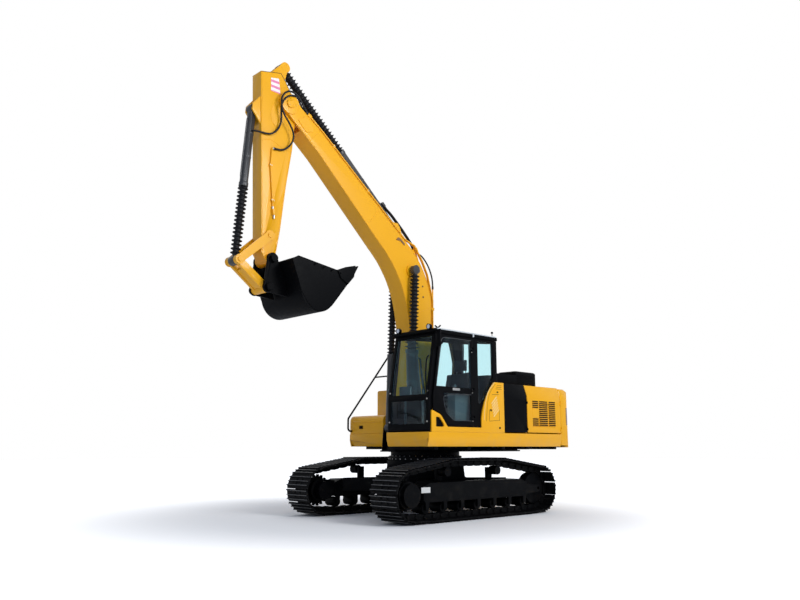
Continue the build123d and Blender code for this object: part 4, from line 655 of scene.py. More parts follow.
for side in (1, -1):
    y = side * arm_half
    for line, shift in ((arm_front, -0.010), (arm_back, 0.008)):
        arm_trim.tube([(u, y, v + shift) for u, v in line], bead, 2, 6)
    arm_trim.tube([(u, y, v) for u, v in butt_seam], bead, 3, 6)
    arm_trim.plate(pivot_doubler, y, y + side * 0.004)
    arm_trim.bolts(((0.05, side * 0.13, 0.10, side), (-0.08, side * 0.13, -0.06, side)), 0.006)
    joint_line.tube([(u, side * (arm_half + 0.0005), v) for u, v in closing_line], 0.005, 3, 6)
arm_trim.done("arm_welds_and_doublers", "arm", yellow_finish)
joint_line.done("arm_joint_line", "arm", seam_shade_finish)

# Sticker: a white vinyl patch with three plain pink stripes, stuck on the arm's top at the
# cab's side.
sticker_outline = ((-0.115, 0.170), (-0.375, 0.235), (-0.325, 0.385), (-0.105, 0.355))
lowest_stripe = 6.81
stripe_turns = 68.0


def sticker_paint(shade):
    bands = shade.maths("SINE", (shade.height() - lowest_stripe) * stripe_turns).band(0.0, 0.25)
    return {"Base Color": bands.blended((0.90, 0.86, 0.82), (0.80, 0.22, 0.40))}


sticker = Work(arm_at)
sticker.plate(sticker_outline, arm_half, arm_half + 0.0012)
sticker.done("arm_stripes", "arm", finish("stripe_sticker", sticker_paint, Roughness=0.35))

# Arm pipe fittings: the steel pipe has bright unions at its valve and at its upper end, and
# two clamps that are bolted to the arm's side.
union = ((-0.03, 0.014), (-0.03, 0.02), (0.0, 0.02), (0.0, 0.015), (0.03, 0.015))
arm_pipe_y = 0.146
arm_unions = Work(arm_at)
for u, v in ((1.985, 0.035), (1.855, 0.075)):
    spot = Matrix.Translation((u, arm_pipe_y, v)) @ Matrix.Rotation(math.radians(10), 4, "Y")
    arm_unions.turned(union, 12, arm_at @ spot)
upper_end = Matrix.Translation((0.865, arm_pipe_y, 0.196)) @ upward
arm_unions.turned(((-0.012, 0.018), (0.012, 0.018)), 6, arm_at @ upper_end)
for u, v in ((1.158, 0.207), (1.721, 0.096)):
    arm_unions.bolts(((u, 0.159, v + 0.016, 1), (u, 0.159, v - 0.016, 1)), 0.008)
arm_unions.done("arm_pipe_unions", "arm", fitting_finish)


# Cylinders: honed barrels in dark grey paint, with a bolted gland, two clips and a welded
# port with its steel line. The rods' eyes are painted too, and laced black rubber sleeves
# cover the chrome.
def barrel_paint(shade):
    streaks = shade.noise(7.0, 4.0, (1.0, 1.0, 0.25))
    return {"Base Color": streaks.blended((0.030, 0.030, 0.031), (0.085, 0.085, 0.086)),
            "Roughness": 0.30 + 0.15 * shade.noise(25.0, 3.0)}


def sleeve_paint(shade):
    wear = shade.noise(60.0, 4.0).band(0.5, 0.75)
    return {"Base Color": wear.blended((0.006, 0.006, 0.008), (0.022, 0.020, 0.022)),
            "Roughness": 0.45 + 0.2 * shade.noise(90.0, 2.0),
            "Bump": (0.3, 0.002, shade.noise(240.0, 3.0))}


barrel_finish = finish("barrel_paint", barrel_paint, Metallic=0.2)
sleeve_finish = finish("sleeve_rubber", sleeve_paint, Specular_IOR_Level=0.35)
boom_rod_pin = boom_at @ Vector((2.203, 0.0, 1.011))
arm_rod_pin = arm_at @ Vector((-0.651, 0.0, 0.119))
cylinder_table = (
    # name, pins at the barrel and at the rod, sideways places, radius and length of the barrel,
    # radii of the rod and its eye, bodies of barrel and rod, the rod's joint, what the sleeve keeps
    ("boom", joint_place["boom_barrel_tilt"], boom_rod_pin, (0.285, -0.285), 0.070, 1.33,
     0.0425, 0.082, "boom_barrels", "boom_rods", "boom_rod_slide", 0.295),
    ("arm", joint_place["arm_barrel_tilt"], arm_rod_pin, (0.0,), 0.080, 1.72,
     0.050, 0.085, "arm_barrel", "arm_rod", "arm_rod_slide", 0.36),
    ("bucket", joint_place["bucket_barrel_tilt"], joint_place["link_turn"], (0.0,), 0.066, 1.33,
     0.040, 0.075, "bucket_barrel", "bucket_rod", "bucket_rod_slide", 0.105),
)
sleeve_rise = 0.041
sleeve_pitch = 0.066
gland_bolts = 10
clip_width = 0.022
line_radius = 0.010
line_lean = -20
port_x = 0.19
for (name, base_pin, rod_pin, places, barrel_radius, barrel_length, rod_radius, eye_radius,
     barrel_body, rod_body, slide, keep) in cylinder_table:
    cylinder_at = side_frame(base_pin, rod_pin)
    sleeve_end = (rod_pin - base_pin).length - eye_radius - 0.012
    gland_x = barrel_length - 0.06
    seat_radius = barrel_radius - 0.003
    clip_radius = barrel_radius + 0.0035
    crest_radius = rod_radius + sleeve_rise
    fold_radius = rod_radius + 0.014
    hem_radius = rod_radius + 0.005
    softened(f"{name}_rod", 0.002, barrel_finish)
    barrels = Work()
    barrels.bm.from_mesh(frame["nodes"][f"{name}_barrel"].data)
    barrels.eased(0.003, 35.0, 3.0, 2)
    sleeves = Work()
    bands = Work()
    for y in places:
        out_at = cylinder_at @ Matrix.Translation((0, y, 0))
        for index in range(gland_bolts):
            turn = Matrix.Rotation(math.tau * index / gland_bolts, 4, "X")
            head = turn @ Matrix.Translation((barrel_length, barrel_radius - 0.008, 0))
            bands.turned(((-0.004, 0.008), (0.001, 0.008), (0.0025, 0.006)), 6, out_at @ head)
        for start in (0.32 * barrel_length, 0.62 * barrel_length):
            end = start + clip_width
            clip = ((start, seat_radius), (start, clip_radius), (end, clip_radius), (end, seat_radius))
            bands.turned(clip, 40, out_at, True)
        gland_ring = ((gland_x - 0.012, seat_radius), (gland_x - 0.012, barrel_radius + 0.003),
                      (gland_x - 0.004, barrel_radius + 0.006), (gland_x - 0.004, seat_radius))
        bands.turned(gland_ring, 40, out_at, True)
        if name != "arm":
            line_at = out_at @ Matrix.Rotation(math.radians(line_lean if y >= 0 else -line_lean), 4, "X")
            line_route = ((port_x, -0.010), (port_x, 0.026), (port_x + 0.05, 0.030), (gland_x - 0.12, 0.030),
                          (gland_x - 0.06, 0.026), (gland_x - 0.06, -0.010))
            line_points = [line_at @ Vector((x, 0.0, barrel_radius + rise)) for x, rise in line_route]
            bands.tube(line_points, line_radius, 3, 8)
        start = barrel_length + 0.004
        pleats = round((sleeve_end - start) / sleeve_pitch)
        pleat = (sleeve_end - start) / pleats
        profile = []
        for index in range(pleats):
            foot = start + pleat * index
            profile += [(foot, hem_radius), (foot + 0.30 * pleat, fold_radius),
                        (foot + 0.47 * pleat, crest_radius), (foot + 0.55 * pleat, crest_radius),
                        (foot + 0.72 * pleat, fold_radius)]
        sleeves.turned(profile + [(sleeve_end, hem_radius)], 40, out_at)
    barrels.done(f"{name}_cylinder_barrels", barrel_body, barrel_finish, (f"{name}_barrel",))
    bands.done(f"{name}_cylinder_fittings", barrel_body, barrel_finish)
    sleeve = sleeves.done(f"{name}_cylinder_sleeves", rod_body, sleeve_finish,
                          (f"{name}_bellows",), 60.0)
    along = (rod_pin - base_pin).normalized()
    tuple(base_pin + along * sleeve_end)
    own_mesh(sleeve)


# Hoses: steel-wired rubber between crimped steel ends. Two feed the arm's cylinder, one
# drains down the boom's back, five cross its foot and two hang in loops at the arm's pivot.
def placed(member_at, *places):
    """Places of a member's own frame, given in the machine's frame."""
    return [member_at @ Vector(place) for place in places]


hose_finish = finish("hose_rubber", lambda shade: {
    "Base Color": shade.noise(40.0, 3.0).blended((0.006, 0.006, 0.007), (0.020, 0.019, 0.019)),
    "Roughness": 0.42 + 0.2 * shade.noise(60.0, 2.0),
    "Bump": (0.2, 0.001, shade.noise(500.0, 2.0))}, Specular_IOR_Level=0.3)
side_at = Matrix.Translation((swing_axis.x, 0.0, 0.0))
nose_start = Vector((back_end_u, 0.0, back_end_v))
nose_along = (Vector((5.575, 0.0, 0.195)) - nose_start).normalized()
nose_port = nose_start + nose_along * 0.35 + Vector((-nose_along.z, 0.0, nose_along.x)) * 0.03
nose_run = nose_port + nose_along * 0.05
foot_routes = [placed(boom_at, (0.298, y, 0.4386), (0.19, y, 0.366))
               + placed(side_at, (-0.26, y, 2.2), (-0.36, y, 1.9), (-0.36, y, 1.10))
               for y in (0.022, 0.060, 0.100, 0.140, 0.168)]
ram_at = side_frame(joint_place["arm_barrel_tilt"], arm_rod_pin)
ram_routes = [placed(boom_at, (2.5, y, 1.44), (2.542, y, 1.44), (2.61, y, 1.43), (2.755, y, 1.40),
                     (2.951, y, 1.35), (3.127, y, 1.298), (3.29, y, 1.246))
              + placed(ram_at, (0.38, y, 0.098), (0.43, y, 0.098))
              for y in (0.022, 0.060)]
drain_route = placed(boom_at, (2.42, 0.1, 1.44), (2.38, 0.1, 1.44), (2.29, 0.1, 1.515), (2.11, 0.1, 1.56),
                     (1.923, 0.1, 1.553), (1.76, 0.1, 1.501), (1.642, 0.1, 1.4213))
outer_loop = (placed(boom_at, (nose_port.x, 0.168, nose_port.z), (nose_run.x, 0.168, nose_run.z),
                     (5.64, 0.17, 0.261), (5.80, 0.19, 0.225), (5.902, 0.21, 0.09), (5.894, 0.225, -0.066))
              + placed(arm_at, (0.042, 0.232, 0.214), (0.247, 0.232, 0.147), (0.353, 0.23, 0.015),
                       (0.482, 0.22, -0.099), (0.61, 0.2, -0.134), (0.767, 0.17, -0.062),
                       (0.855, 0.148, 0.06), (0.862, 0.146, 0.188)))
inner_loop = (placed(boom_at, (nose_port.x, 0.14, nose_port.z), (nose_run.x, 0.14, nose_run.z),
                     (5.65, 0.14, 0.232), (5.772, 0.208, 0.196), (5.836, 0.216, 0.04), (5.807, 0.22, -0.107))
              + placed(arm_at, (0.114, 0.204, 0.184), (0.357, 0.178, 0.123), (0.512, 0.17, 0.157),
                       (0.63, 0.16, 0.244), (0.673, 0.152, 0.35), (0.682, 0.148, 0.452),
                       (0.688, 0.128, 0.53), (0.688, 0.096, 0.574), (0.688, 0.067, 0.576)))
loop_start = Vector((swing_axis.x + 3.027, 0.17, 6.592))
loop_fall = Vector((0.608, 0.0, -0.794))
hose_table = (
    # node, radius, routes, its body or the two bodies and the points between which it bends
    ("boom_foot_hoses", 0.0135, foot_routes,
     ("upper", "boom", side_at @ Vector((-0.36, 0.1, 1.15)), foot_routes[2][0])),
    ("arm_cylinder_hoses", 0.0145, ram_routes,
     ("boom", "arm_barrel", boom_at @ Vector((2.55, 0.04, 1.44)), boom_at @ Vector((3.38, 0.04, 1.22)))),
    ("drain_hose", 0.0145, (drain_route,), "boom"),
    ("arm_hoses", 0.0155, (outer_loop, inner_loop),
     ("boom", "arm", loop_start + loop_fall * 0.1, loop_start + loop_fall * 0.62)),
)
for node, radius, routes, carrier in hose_table:
    hoses = Work()
    crimp = ((0.0, radius * 1.28), (0.05, radius * 1.28), (0.056, radius * 1.1))
    for route in routes:
        hoses.tube(route, radius, 3, 12)
        for end, inner in ((route[0], route[1]), (route[-1], route[-2])):
            if abs((inner - end).y) < 0.01:
                hoses.turned(crimp, 14, side_frame(end, inner))
    if isinstance(carrier, str):
        hoses.done(f"{node}_rubber", carrier, hose_finish, (node,))
    else:
        first, second, start, end = carrier
        bending = hoses.done(f"{node}_rubber", None, hose_finish, (node,))
        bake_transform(bending)

# Bucket: weld beads round its side plates, capped pins on its ears, and cutters bolted to
# the side plates.
bucket_pin = joint_place["bucket_curl"]
bucket_at = side_frame(bucket_pin, bucket_pin + Vector((0.1369, 0.0, -0.9906)))
bucket_heel = ((0.02, -0.125), (0.47, -0.375), (0.62, -0.52), (0.70, -0.68), (0.66, -0.86), (0.545, -0.985),
               (-0.035, -1.33))
bucket_trim = Work(bucket_at)
for side in (1, -1):
    bucket_trim.tube([(u, side * 0.552, v) for u, v in bucket_heel], 0.005, 2, 6)
    bucket_trim.bolts([(-0.02, side * 0.577, -0.55 - 0.17 * step, side) for step in range(4)], 0.016)
    for u in (0.0, 0.46):
        cap_at = bucket_at @ Matrix.Translation((u, side * 0.262, 0.0)) @ sideways(side)
        bucket_trim.turned(((-0.03, 0.062), (-0.004, 0.062), (0.0, 0.057)), 28, cap_at)
bucket_trim.done("bucket_welds_and_bolts", "bucket", black_finish)

# Cab glass: a laminated windscreen and tempered panes, tinted blue-green and bonded into
# black rubber seals. A paler seal runs round the door's panes.
glass_finish = finish("window_glass", lambda shade: {
    "Base Color": shade.noise(0.9, 2.0).blended((0.74, 0.95, 0.98), (0.80, 0.98, 1.00)),
    "Roughness": 0.01 + 0.02 * shade.noise(3.0, 3.0)}, IOR=1.3, Transmission_Weight=1.0)
for node in ("cab_glass", "door_glass"):
    softened(node, 0.0008, glass_finish)
seal_finish = finish("seal_rubber", lambda shade: {
    "Base Color": shade.noise(30.0, 3.0).blended((0.05, 0.055, 0.06), (0.10, 0.11, 0.12)),
    "Roughness": 0.45 + 0.1 * shade.noise(60.0)})
door_y = 1.3565
upper_pane = ((1.112, 2.13), (1.015, 2.80), (0.985, 2.90), (0.93, 2.947), (0.80, 2.95), (0.25, 2.95))
lower_pane = ((0.26, 2.03), (0.94, 2.03), (0.94, 1.89), (0.878, 1.712), (0.70, 1.597), (0.26, 1.597))
door_seal = Work(side_at)
door_seal.tube([(x, door_y, z) for x, z in upper_pane], 0.0045, 3, 6)
door_seal.tube([(x, door_y, z) for x, z in lower_pane], 0.0035, 3, 6)
door_seal.done("door_window_seals", "cab_door", seal_finish)

# Cab door furniture: a bright paddle handle in its plate on the door's belt, and pairs of
# bolts that hold the door to its three hinges.
door_furniture = Work(side_at)
door_furniture.block((0.55, 1.354, 2.085), (0.72, 1.362, 2.125))
door_furniture.block((0.57, 1.360, 2.098), (0.66, 1.372, 2.114))
hinge_bolts = [(0.235, 1.36, z + shift, 1) for z in (1.615, 2.085, 2.775) for shift in (-0.02, 0.02)]
door_furniture.bolts(hinge_bolts, 0.008)
door_furniture.eased(0.002)
door_furniture.done("door_handle_and_bolts", "cab_door", fitting_finish)

# Drip rail: a pale pressed strip along the roof's left edge, which leads rain past the
# door, with its end clip.
trim_finish = finish("pale_trim", lambda shade: {
    "Base Color": shade.noise(12.0, 3.0).blended((0.55, 0.60, 0.62), (0.72, 0.76, 0.78)),
    "Roughness": 0.25 + 0.15 * shade.noise(40.0)}, Metallic=0.3)
rail_line = ((1.08, 3.080), (0.60, 3.083), (0.10, 3.082), (-0.43, 3.078))
drip_rail = Work(side_at)
drip_rail.tube([(x, 1.3505, z) for x, z in rail_line], 0.0115, 3, 8)
drip_rail.block((0.17, 1.352, 3.02), (0.20, 1.366, 3.068))
drip_rail.done("cab_drip_rail", "upper", trim_finish)

# Cab fittings in black: a wiper on the lower windscreen, a bent steel grab handle at the
# front pillar, an aerial with a knob at the roof's rear corner and a forked bracket ahead.
roof_z = 3.088
wiper_arm = ((1.235, 1.10, 1.56), (1.29, 1.05, 1.63), (1.285, 0.75, 1.72), (1.282, 0.62, 1.74))
wiper_blade = ((1.283, 0.62, 1.62), (1.283, 0.62, 1.88))
grab_handle = ((1.238, 1.31, 2.62), (1.295, 1.315, 2.60), (1.32, 1.315, 2.30), (1.295, 1.315, 2.02),
               (1.262, 1.31, 2.0))
cab_fittings = Work(side_at)
cab_fittings.tube(wiper_arm, 0.008, 2, 6)
cab_fittings.tube(wiper_blade, 0.007, 2, 6)
cab_fittings.tube(grab_handle, 0.011, 3, 8)
cab_fittings.tube(((-0.43, 1.27, roof_z), (-0.43, 1.27, 3.16)), 0.006, 2, 6)
knob = ((0.0, 0.004), (0.006, 0.017), (0.02, 0.022), (0.034, 0.017), (0.04, 0.004))
cab_fittings.turned(knob, 16, side_at @ Matrix.Translation((-0.45, 1.27, 3.166)))
cab_fittings.tube(((0.90, 1.20, roof_z), (0.90, 1.20, 3.13)), 0.012, 2, 8)
for lean in (-1, 1):
    cab_fittings.tube(((0.90, 1.20, 3.12), (0.90 - 0.02 * lean, 1.20 + 0.045 * lean, 3.165)), 0.013, 2, 8)
cab_fittings.done("cab_fittings", "upper", black_finish)

# Corner bolts: bright round heads hold the windscreen's frame to the front pillars, which
# lean back above the belt.
belt_z = 1.955
pillar_x = 1.27
pillar_slope = 0.161
pillar_bolts = Work(side_at)
for y, z in ((1.297, 2.05), (1.297, 1.93), (1.297, 1.57), (0.42, 2.05), (0.42, 1.57)):
    head = Matrix.Translation((pillar_x - max(z - belt_z, 0.0) * pillar_slope, y, z))
    pillar_bolts.turned(((-0.002, 0.013), (0.004, 0.013), (0.007, 0.009)), 12, side_at @ head)
pillar_bolts.done("cab_corner_bolts", "upper", fitting_finish)

# Work lamps: a clear lens on a round black housing, which stands on a bracket at the
# roof's front edge.
lens_finish = finish("lamp_lens", lambda shade: {
    "Base Color": shade.noise(90.0, 2.0).blended((0.55, 0.60, 0.68), (0.80, 0.84, 0.90)),
    "Roughness": 0.10 + 0.1 * shade.noise(60.0)}, Coat_Weight=0.6)
lamp_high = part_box("work_lamps")[1]
roof_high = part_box("cab_roof")[1]
lamp_radius = 0.046
lamp_depth = 0.075
lamp_z = lamp_high.z - lamp_radius
housing = ((0.0, 0.022), (0.012, 0.040), (0.03, lamp_radius), (0.074, lamp_radius), (lamp_depth, 0.040),
           (0.066, 0.039))
lens = ((0.064, 0.0385), (0.069, 0.036), (0.072, 0.020), (0.0725, 0.004))
housings = Work()
lenses = Work()
for y in (0.51, 1.235):
    at_lamp = Matrix.Translation((lamp_high.x - lamp_depth, y, lamp_z))
    housings.turned(housing, 32, at_lamp)
    housings.block((lamp_high.x - 0.06, y - 0.008, roof_high.z + 0.0004),
                   (lamp_high.x - 0.025, y + 0.008, lamp_z))
    lenses.turned(lens, 32, at_lamp)
housings.done("work_lamp_housings", "upper", black_finish, ("work_lamps",))
lenses.done("work_lamp_lenses", "upper", lens_finish)

# Cab interior: the seat's moulded base and side consoles in dark grained plastic, and the
# two levers with their rubber boots and grips.
plastic_finish = finish("cab_plastic", lambda shade: {
    "Base Color": shade.noise(5.0, 4.0).blended((0.070, 0.088, 0.098), (0.130, 0.155, 0.168)),
    "Roughness": 0.50 + 0.15 * shade.noise(30.0),
    "Bump": (0.25, 0.001, shade.noise(600.0, 2.0))}, Specular_IOR_Level=0.3)
for node, width in (("seat_base", 0.012), ("cab_controls", 0.010)):
    softened(node, width, plastic_finish)
seat_low, seat_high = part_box("operator_seat")
control_low, control_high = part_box("cab_controls")
boot = ((-0.002, 0.05), (0.012, 0.048), (0.02, 0.036), (0.034, 0.040), (0.046, 0.026), (0.07, 0.022))
grip = ((0.09, 0.018), (0.11, 0.024), (0.16, 0.026), (0.185, 0.022), (0.195, 0.008))
lever_x = 0.48
console_z = 2.02
boots = Work(side_at)
for y in ((control_low.y + seat_low.y) / 2, (control_high.y + seat_high.y) / 2):
    lever_at = side_at @ Matrix.Translation((lever_x, y, console_z)) @ upward
    boots.turned(boot, 24, lever_at)
    boots.turned(grip, 20, lever_at)
boots.done("lever_boots_and_grips", "upper", sleeve_finish)

# Seat: foam cushions in woven cloth. Each is swollen by its own filling, and the back and
# the cushion have two sewn channels.
dark_thread = (0.020, 0.021, 0.024)
pale_thread = (0.055, 0.058, 0.064)
cloth_finish = finish("seat_cloth", lambda shade: {
    "Base Color": shade.noise(260.0, 2.0, (1.0, 0.3, 1.0)).blended(dark_thread, pale_thread),
    "Roughness": 0.85 + 0.1 * shade.noise(120.0),
    "Bump": (0.4, 0.0015, shade.noise(520.0, 2.0, (1.0, 0.35, 1.0)))}, Specular_IOR_Level=0.2)
cushion_table = (
    # name, side outline (x from the swing axis, z), half width, rounding, largest swell
    ("seat_cushion",
     ((0.085, 1.842), (0.545, 1.842), (0.552, 1.93), (0.50, 1.944), (0.16, 1.928), (0.09, 1.93)),
     0.222, 0.030, 0.010),
    ("seat_back",
     ((0.060, 1.956), (0.128, 1.962), (0.052, 2.462), (-0.028, 2.462), (-0.048, 1.95)),
     0.212, 0.026, 0.010),
    ("seat_headrest",
     ((0.044, 2.488), (0.038, 2.668), (-0.018, 2.668), (-0.018, 2.488)),
     0.112, 0.020, 0.008),
)
seat_y = (seat_low.y + seat_high.y) / 2
cushion_top = 1.9
channel_ys = (-0.13, 0.13)
channel_width = 0.007
channel_depth = 0.006
for name, outline, half, rounding, swell in cushion_table:
    blank = Work(side_at)
    blank.plate(outline, seat_y - half, seat_y + half)
    blank.eased(rounding, 28.0, 1.0, 4)
    replaced = ("operator_seat",) if name == "seat_cushion" else ()
    cushion = blank.done(name, "upper", cloth_finish, replaced, 60.0)
    remesh = cushion.modifiers.new("even", "REMESH")
    remesh.mode = "VOXEL"
    remesh.voxel_size = 0.007
    bpy.context.view_layer.update()
    even = bpy.data.meshes.new_from_object(cushion.evaluated_get(bpy.context.evaluated_depsgraph_get()))
    cushion.modifiers.clear()
    cushion.data = even
    before = [vertex.co.copy() for vertex in even.vertices]
    cloth = cushion.modifiers.new("stuffing", "CLOTH")
    cloth.settings.quality = 4
    cloth.settings.use_pressure = True
    cloth.settings.uniform_pressure_force = 4.0
    cloth.settings.effector_weights.gravity = 0.0
    for step in range(1, 21):
        scene.frame_set(step)
    swollen = cushion.evaluated_get(bpy.context.evaluated_depsgraph_get()).to_mesh()
    for vertex, start, blown in zip(even.vertices, before, swollen.vertices):
        shift = blown.co - start
        vertex.co = start + shift * min(1.0, swell / max(shift.length, 1e-6))
    cushion.evaluated_get(bpy.context.evaluated_depsgraph_get()).to_mesh_clear()
    cushion.modifiers.clear()
    scene.frame_set(1)
    centre_x = sum(x for x, z in outline) / len(outline) + swing_axis.x
    for vertex in even.vertices:
        for channel_y in channel_ys:
            dip = math.exp(-((vertex.co.y - seat_y - channel_y) / channel_width) ** 2) * channel_depth
            if name == "seat_back":
                inward = Vector((centre_x, vertex.co.y, vertex.co.z)) - vertex.co
                vertex.co += inward.normalized() * dip
            elif vertex.co.z > cushion_top:
                vertex.co.z -= dip
    even.polygons.foreach_set("use_smooth", [True] * len(even.polygons))
    even.materials.clear()
    even.materials.append(cloth_finish)

# Seat frame: moulded side covers close the gap between the cushion and the back, and two
# steel stems carry the headrest.
cover_outline = ((-0.05, 1.94), (0.07, 1.86), (0.54, 1.855), (0.54, 1.90), (0.10, 1.915), (0.02, 2.10))
seat_frame = Work(side_at)
for y in (seat_y - 0.09, seat_y + 0.09):
    seat_frame.tube([(0.0, y, 2.44), (0.0, y, 2.52)], 0.007, 2, 8)
for side in (1, -1):
    seat_frame.plate(cover_outline, seat_y + side * 0.226, seat_y + side * 0.234)
seat_frame.eased(0.002)
seat_frame.done("seat_side_covers", "upper", plastic_finish)

# Panel latches: black slam latches are let into the doors and panels of the house, with a
# small catch, and three short slots at the top of the quarter cover, drawn as dark blocks of
# painted shade where the openings are.
house_y = 1.3555
latches = Work(side_at)
for x, z in ((-0.484, 1.492), (-1.255, 1.505), (-0.25, 1.79), (0.30, 1.52)):
    latches.block((x - 0.022, house_y - 0.004, z - 0.016), (x + 0.022, house_y + 0.004, z + 0.016))
latches.block((-0.462, house_y - 0.002, 2.098), (-0.416, house_y + 0.0015, 2.120))
# The three slots: black blocks of painted shade in the openings.
for row in range(3):
    z = 2.222 - 0.03 * row
    latches.block((-0.555, house_y - 0.002, z), (-0.430 + 0.02 * row, house_y + 0.001, z + 0.006))
latches.eased(0.0015)
latches.done("panel_latches_and_slots", "upper", black_finish)

# Quarter cover: the panel behind the cab's door is pressed with six slanted vent lips, and
# a rolled edge follows the cab. Both are painted a paler yellow than the panel: a painted
# highlight where their crests catch the light.
lip_highlight_finish = finish("vent_lips", lambda shade: {
    "Base Color": shade.noise(40.0).blended((0.90, 0.62, 0.20), (0.95, 0.72, 0.32)),
    "Roughness": 0.4 + 0.2 * shade.noise(60.0)})
rolled_edge = ((-0.062, 1.62), (-0.085, 1.83), (-0.135, 2.02), (-0.225, 2.165), (-0.36, 2.272))
vent = Work(side_at)
for row in range(6):
    x, z = -0.275 - 0.010 * row, 1.895 - 0.044 * row
    vent.plate([(x, z), (x + 0.012, z + 0.014), (x - 0.128, z + 0.139), (x - 0.140, z + 0.125)],
               house_y - 0.002, house_y + 0.005)
vent.tube([(x, house_y, z) for x, z in rolled_edge], 0.006, 3, 8)
vent.done("quarter_cover_vent", "upper", lip_highlight_finish)
# The cover's groove lines are dark lines of painted shade, in the same darkened yellow.
cover_lines = (
    ((-0.125, 1.60), (-0.145, 1.83), (-0.19, 2.02), (-0.27, 2.15), (-0.39, 2.25)),
    ((-0.21, 1.604), (-0.478, 1.622)), ((-0.29, 2.062), (-0.478, 2.07)),
    ((-0.478, 1.622), (-0.478, 1.80)), ((-0.21, 1.604), (-0.21, 1.80)),
)
cover_seams = Work(side_at)
for line in cover_lines:
    cover_seams.tube([(x, house_y, z) for x, z in line], 0.0032, min(3, len(line)), 6)
cover_seams.done("quarter_cover_seams", "upper", seam_shade_finish)

# Grille: rows of louvres pressed out of the rear house door, with a dark slot over each
# that is painted shade standing for the dark inside, and a plain sheet plate fixed across
# the front bay.
grille_shade_finish = finish("grille_shadow", lambda shade: {
    "Base Color": shade.noise(30.0, 3.0).blended((0.012, 0.005, 0.002), (0.050, 0.020, 0.006)),
    "Roughness": 0.55 + 0.2 * shade.noise(50.0)}, Specular_IOR_Level=0.2)
grille_rows = 13
grille_low_z = 1.545
grille_high_z = 2.010
grille_step = (grille_high_z - grille_low_z) / grille_rows
grille_bays = ((-2.150, -1.950), (-1.905, -1.650), (-1.615, -1.440))
plate_low_z = 1.68
plate_high_z = 1.86
slots = Work(side_at)
louvres = Work(side_at)
for row in range(grille_rows):
    z = grille_low_z + grille_step * row
    beside_plate = plate_low_z < z < plate_high_z
    for start, end in grille_bays[:2] if beside_plate else grille_bays:
        slots.block((start, house_y - 0.004, z + 0.006), (end, house_y + 0.0006, z + grille_step - 0.006))
        louvres.block((start, house_y - 0.003, z - 0.004), (end, house_y + 0.008, z + 0.006))
slots.done("grille_slots", "house_door_rear", grille_shade_finish)
louvres.block((-1.629, house_y - 0.003, 1.693), (-1.430, house_y + 0.0018, 1.866))
louvres.eased(0.0012)
louvres.done("grille_louvres", "house_door_rear", yellow_finish)

# Corner reflector: a dark red moulded strip is let into the counterweight's left corner. It
# follows the casting's curve, 3 mm proud of it.
reflector_finish = finish("reflector_red", lambda shade: {
    "Base Color": shade.noise(200.0, 1.0).blended((0.030, 0.004, 0.006), (0.16, 0.012, 0.016)),
    "Roughness": 0.2 + 0.1 * shade.noise(50.0)}, Coat_Weight=0.5)
casting = frame["nodes"]["counterweight"].data
corner_cast = BVHTree.FromPolygons([vertex.co for vertex in casting.vertices],
                                   [tuple(face.vertices) for face in casting.polygons])
rows = []
for z in (1.904, 1.80, 1.70, 1.583):
    row = []
    for x in (-2.50, -2.54, -2.58, -2.62):
        beside = Vector((swing_axis.x + x, 3.0, z))
        place, normal = corner_cast.ray_cast(beside, Vector((0.0, -1.0, 0.0)))[:2]
        row.append(place + normal * 0.003)
    rows.append(row)
reflector = Work()
for high_row, low_row in zip(rows, rows[1:]):
    for index in range(3):
        corners = (high_row[index], high_row[index + 1], low_row[index + 1], low_row[index])
        reflector.shape(corners, ((0, 1, 2, 3),))
reflector.done("corner_reflector", "upper", reflector_finish)

# Louvred box: ribs are pressed out of the left side and the back of the black sheet box
# behind the cab, and bolts along its foot hold it down.
box_low, box_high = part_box("intake_box")
lowest_rib = 0.035
rib_pitch = 0.031
rib_height = 0.013
ribs = Work()
for row in range(6):
    z = box_low.z + lowest_rib + rib_pitch * row
    top = z + rib_height
    ribs.block((box_low.x + 0.05, box_high.y - 0.002, z), (box_low.x + 0.57, box_high.y + 0.007, top))
    ribs.block((box_low.x - 0.006, box_high.y - 0.38, z), (box_low.x + 0.002, box_high.y - 0.05, top))
ribs.eased(0.003)
ribs.bolts([(box_low.x + 0.06 + 0.24 * index, box_high.y, box_low.z + 0.015, 1) for index in range(5)], 0.007)
ribs.done("louvred_box_ribs", "upper", black_finish)

# Deck clips: black steel clips under the left deck's edge hold the drain hose and the
# wiring that run along it.
deck_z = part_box("side_decks")[0].z
clip_half_length = 0.055
deck_clips = Work(side_at)
for x in (-0.435, -0.627, -1.235, -1.470):
    deck_clips.block((x - clip_half_length, 1.16, deck_z - 0.030),
                     (x + clip_half_length, 1.26, deck_z + 0.004))
deck_clips.eased(0.006)
deck_clips.done("deck_clips", "upper", black_finish)

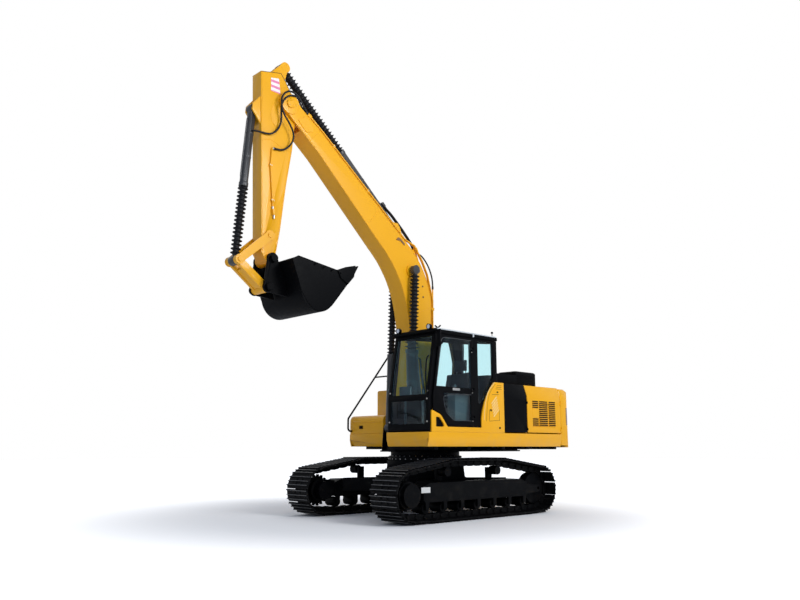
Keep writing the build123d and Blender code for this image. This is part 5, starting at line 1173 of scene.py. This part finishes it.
# Tool box latch: a black slam latch with a raised paddle, riveted into the lid's curved
# front.
lid_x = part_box("tool_box_lid")[1].x - swing_axis.x
box_latch = Work(side_at)
box_latch.block((lid_x - 0.006, -1.085, 1.500), (lid_x + 0.010, -0.985, 1.556))
box_latch.block((lid_x + 0.006, -1.065, 1.512), (lid_x + 0.018, -1.005, 1.545))
box_latch.eased(0.003)
box_latch.done("tool_box_latch", "tool_box_lid", black_finish)

# Swing ring: hexagon bolts hold the steel ring down on the centre frame, and small round
# plugs close the holes in its side.
ring_low, ring_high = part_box("swing_ring")
ring_radius = (ring_high.x - ring_low.x) / 2
ring_bolt_count = 36
plug_turn = 0.06
ring_bolt_circle = ring_radius - 0.03
ring_bolts = Work()
for index in range(ring_bolt_count):
    angle = math.tau * index / ring_bolt_count
    spot = (ring_bolt_circle * math.cos(angle), ring_bolt_circle * math.sin(angle), ring_high.z - 0.003)
    ring_bolts.turned(((-0.02, 0.014), (0.006, 0.014), (0.010, 0.011)), 6,
                      side_at @ Matrix.Translation(spot) @ upward)
    plug_at = Matrix.Translation((ring_radius - 0.002, 0, ring_low.z + 0.03))
    ring_bolts.turned(((-0.006, 0.010), (0.005, 0.010), (0.008, 0.006)), 8,
                      side_at @ Matrix.Rotation(angle + plug_turn, 4, "Z") @ plug_at)
ring_bolts.done("swing_ring_bolts", "undercarriage", fitting_finish)

# Track frame plate: a small blank plate of bright sheet is riveted to the side of the left
# track frame, near its front end.
plate_finish = finish("blank_plate", lambda shade: {
    "Base Color": shade.noise(30.0).blended((0.62, 0.62, 0.60), (0.78, 0.78, 0.76)),
    "Roughness": 0.35 + 0.2 * shade.noise(70.0)})
plate_x = 1.276
plate_z = 0.504
plate_length = 0.20
plate_height = 0.085
frame_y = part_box("track_frames")[1].y
frame_plate = Work(side_at)
frame_plate.block((plate_x - plate_length / 2, frame_y - 0.002, plate_z - plate_height / 2),
                  (plate_x + plate_length / 2, frame_y + 0.002, plate_z + plate_height / 2))
frame_plate.done("track_frame_plates", "undercarriage", plate_finish)
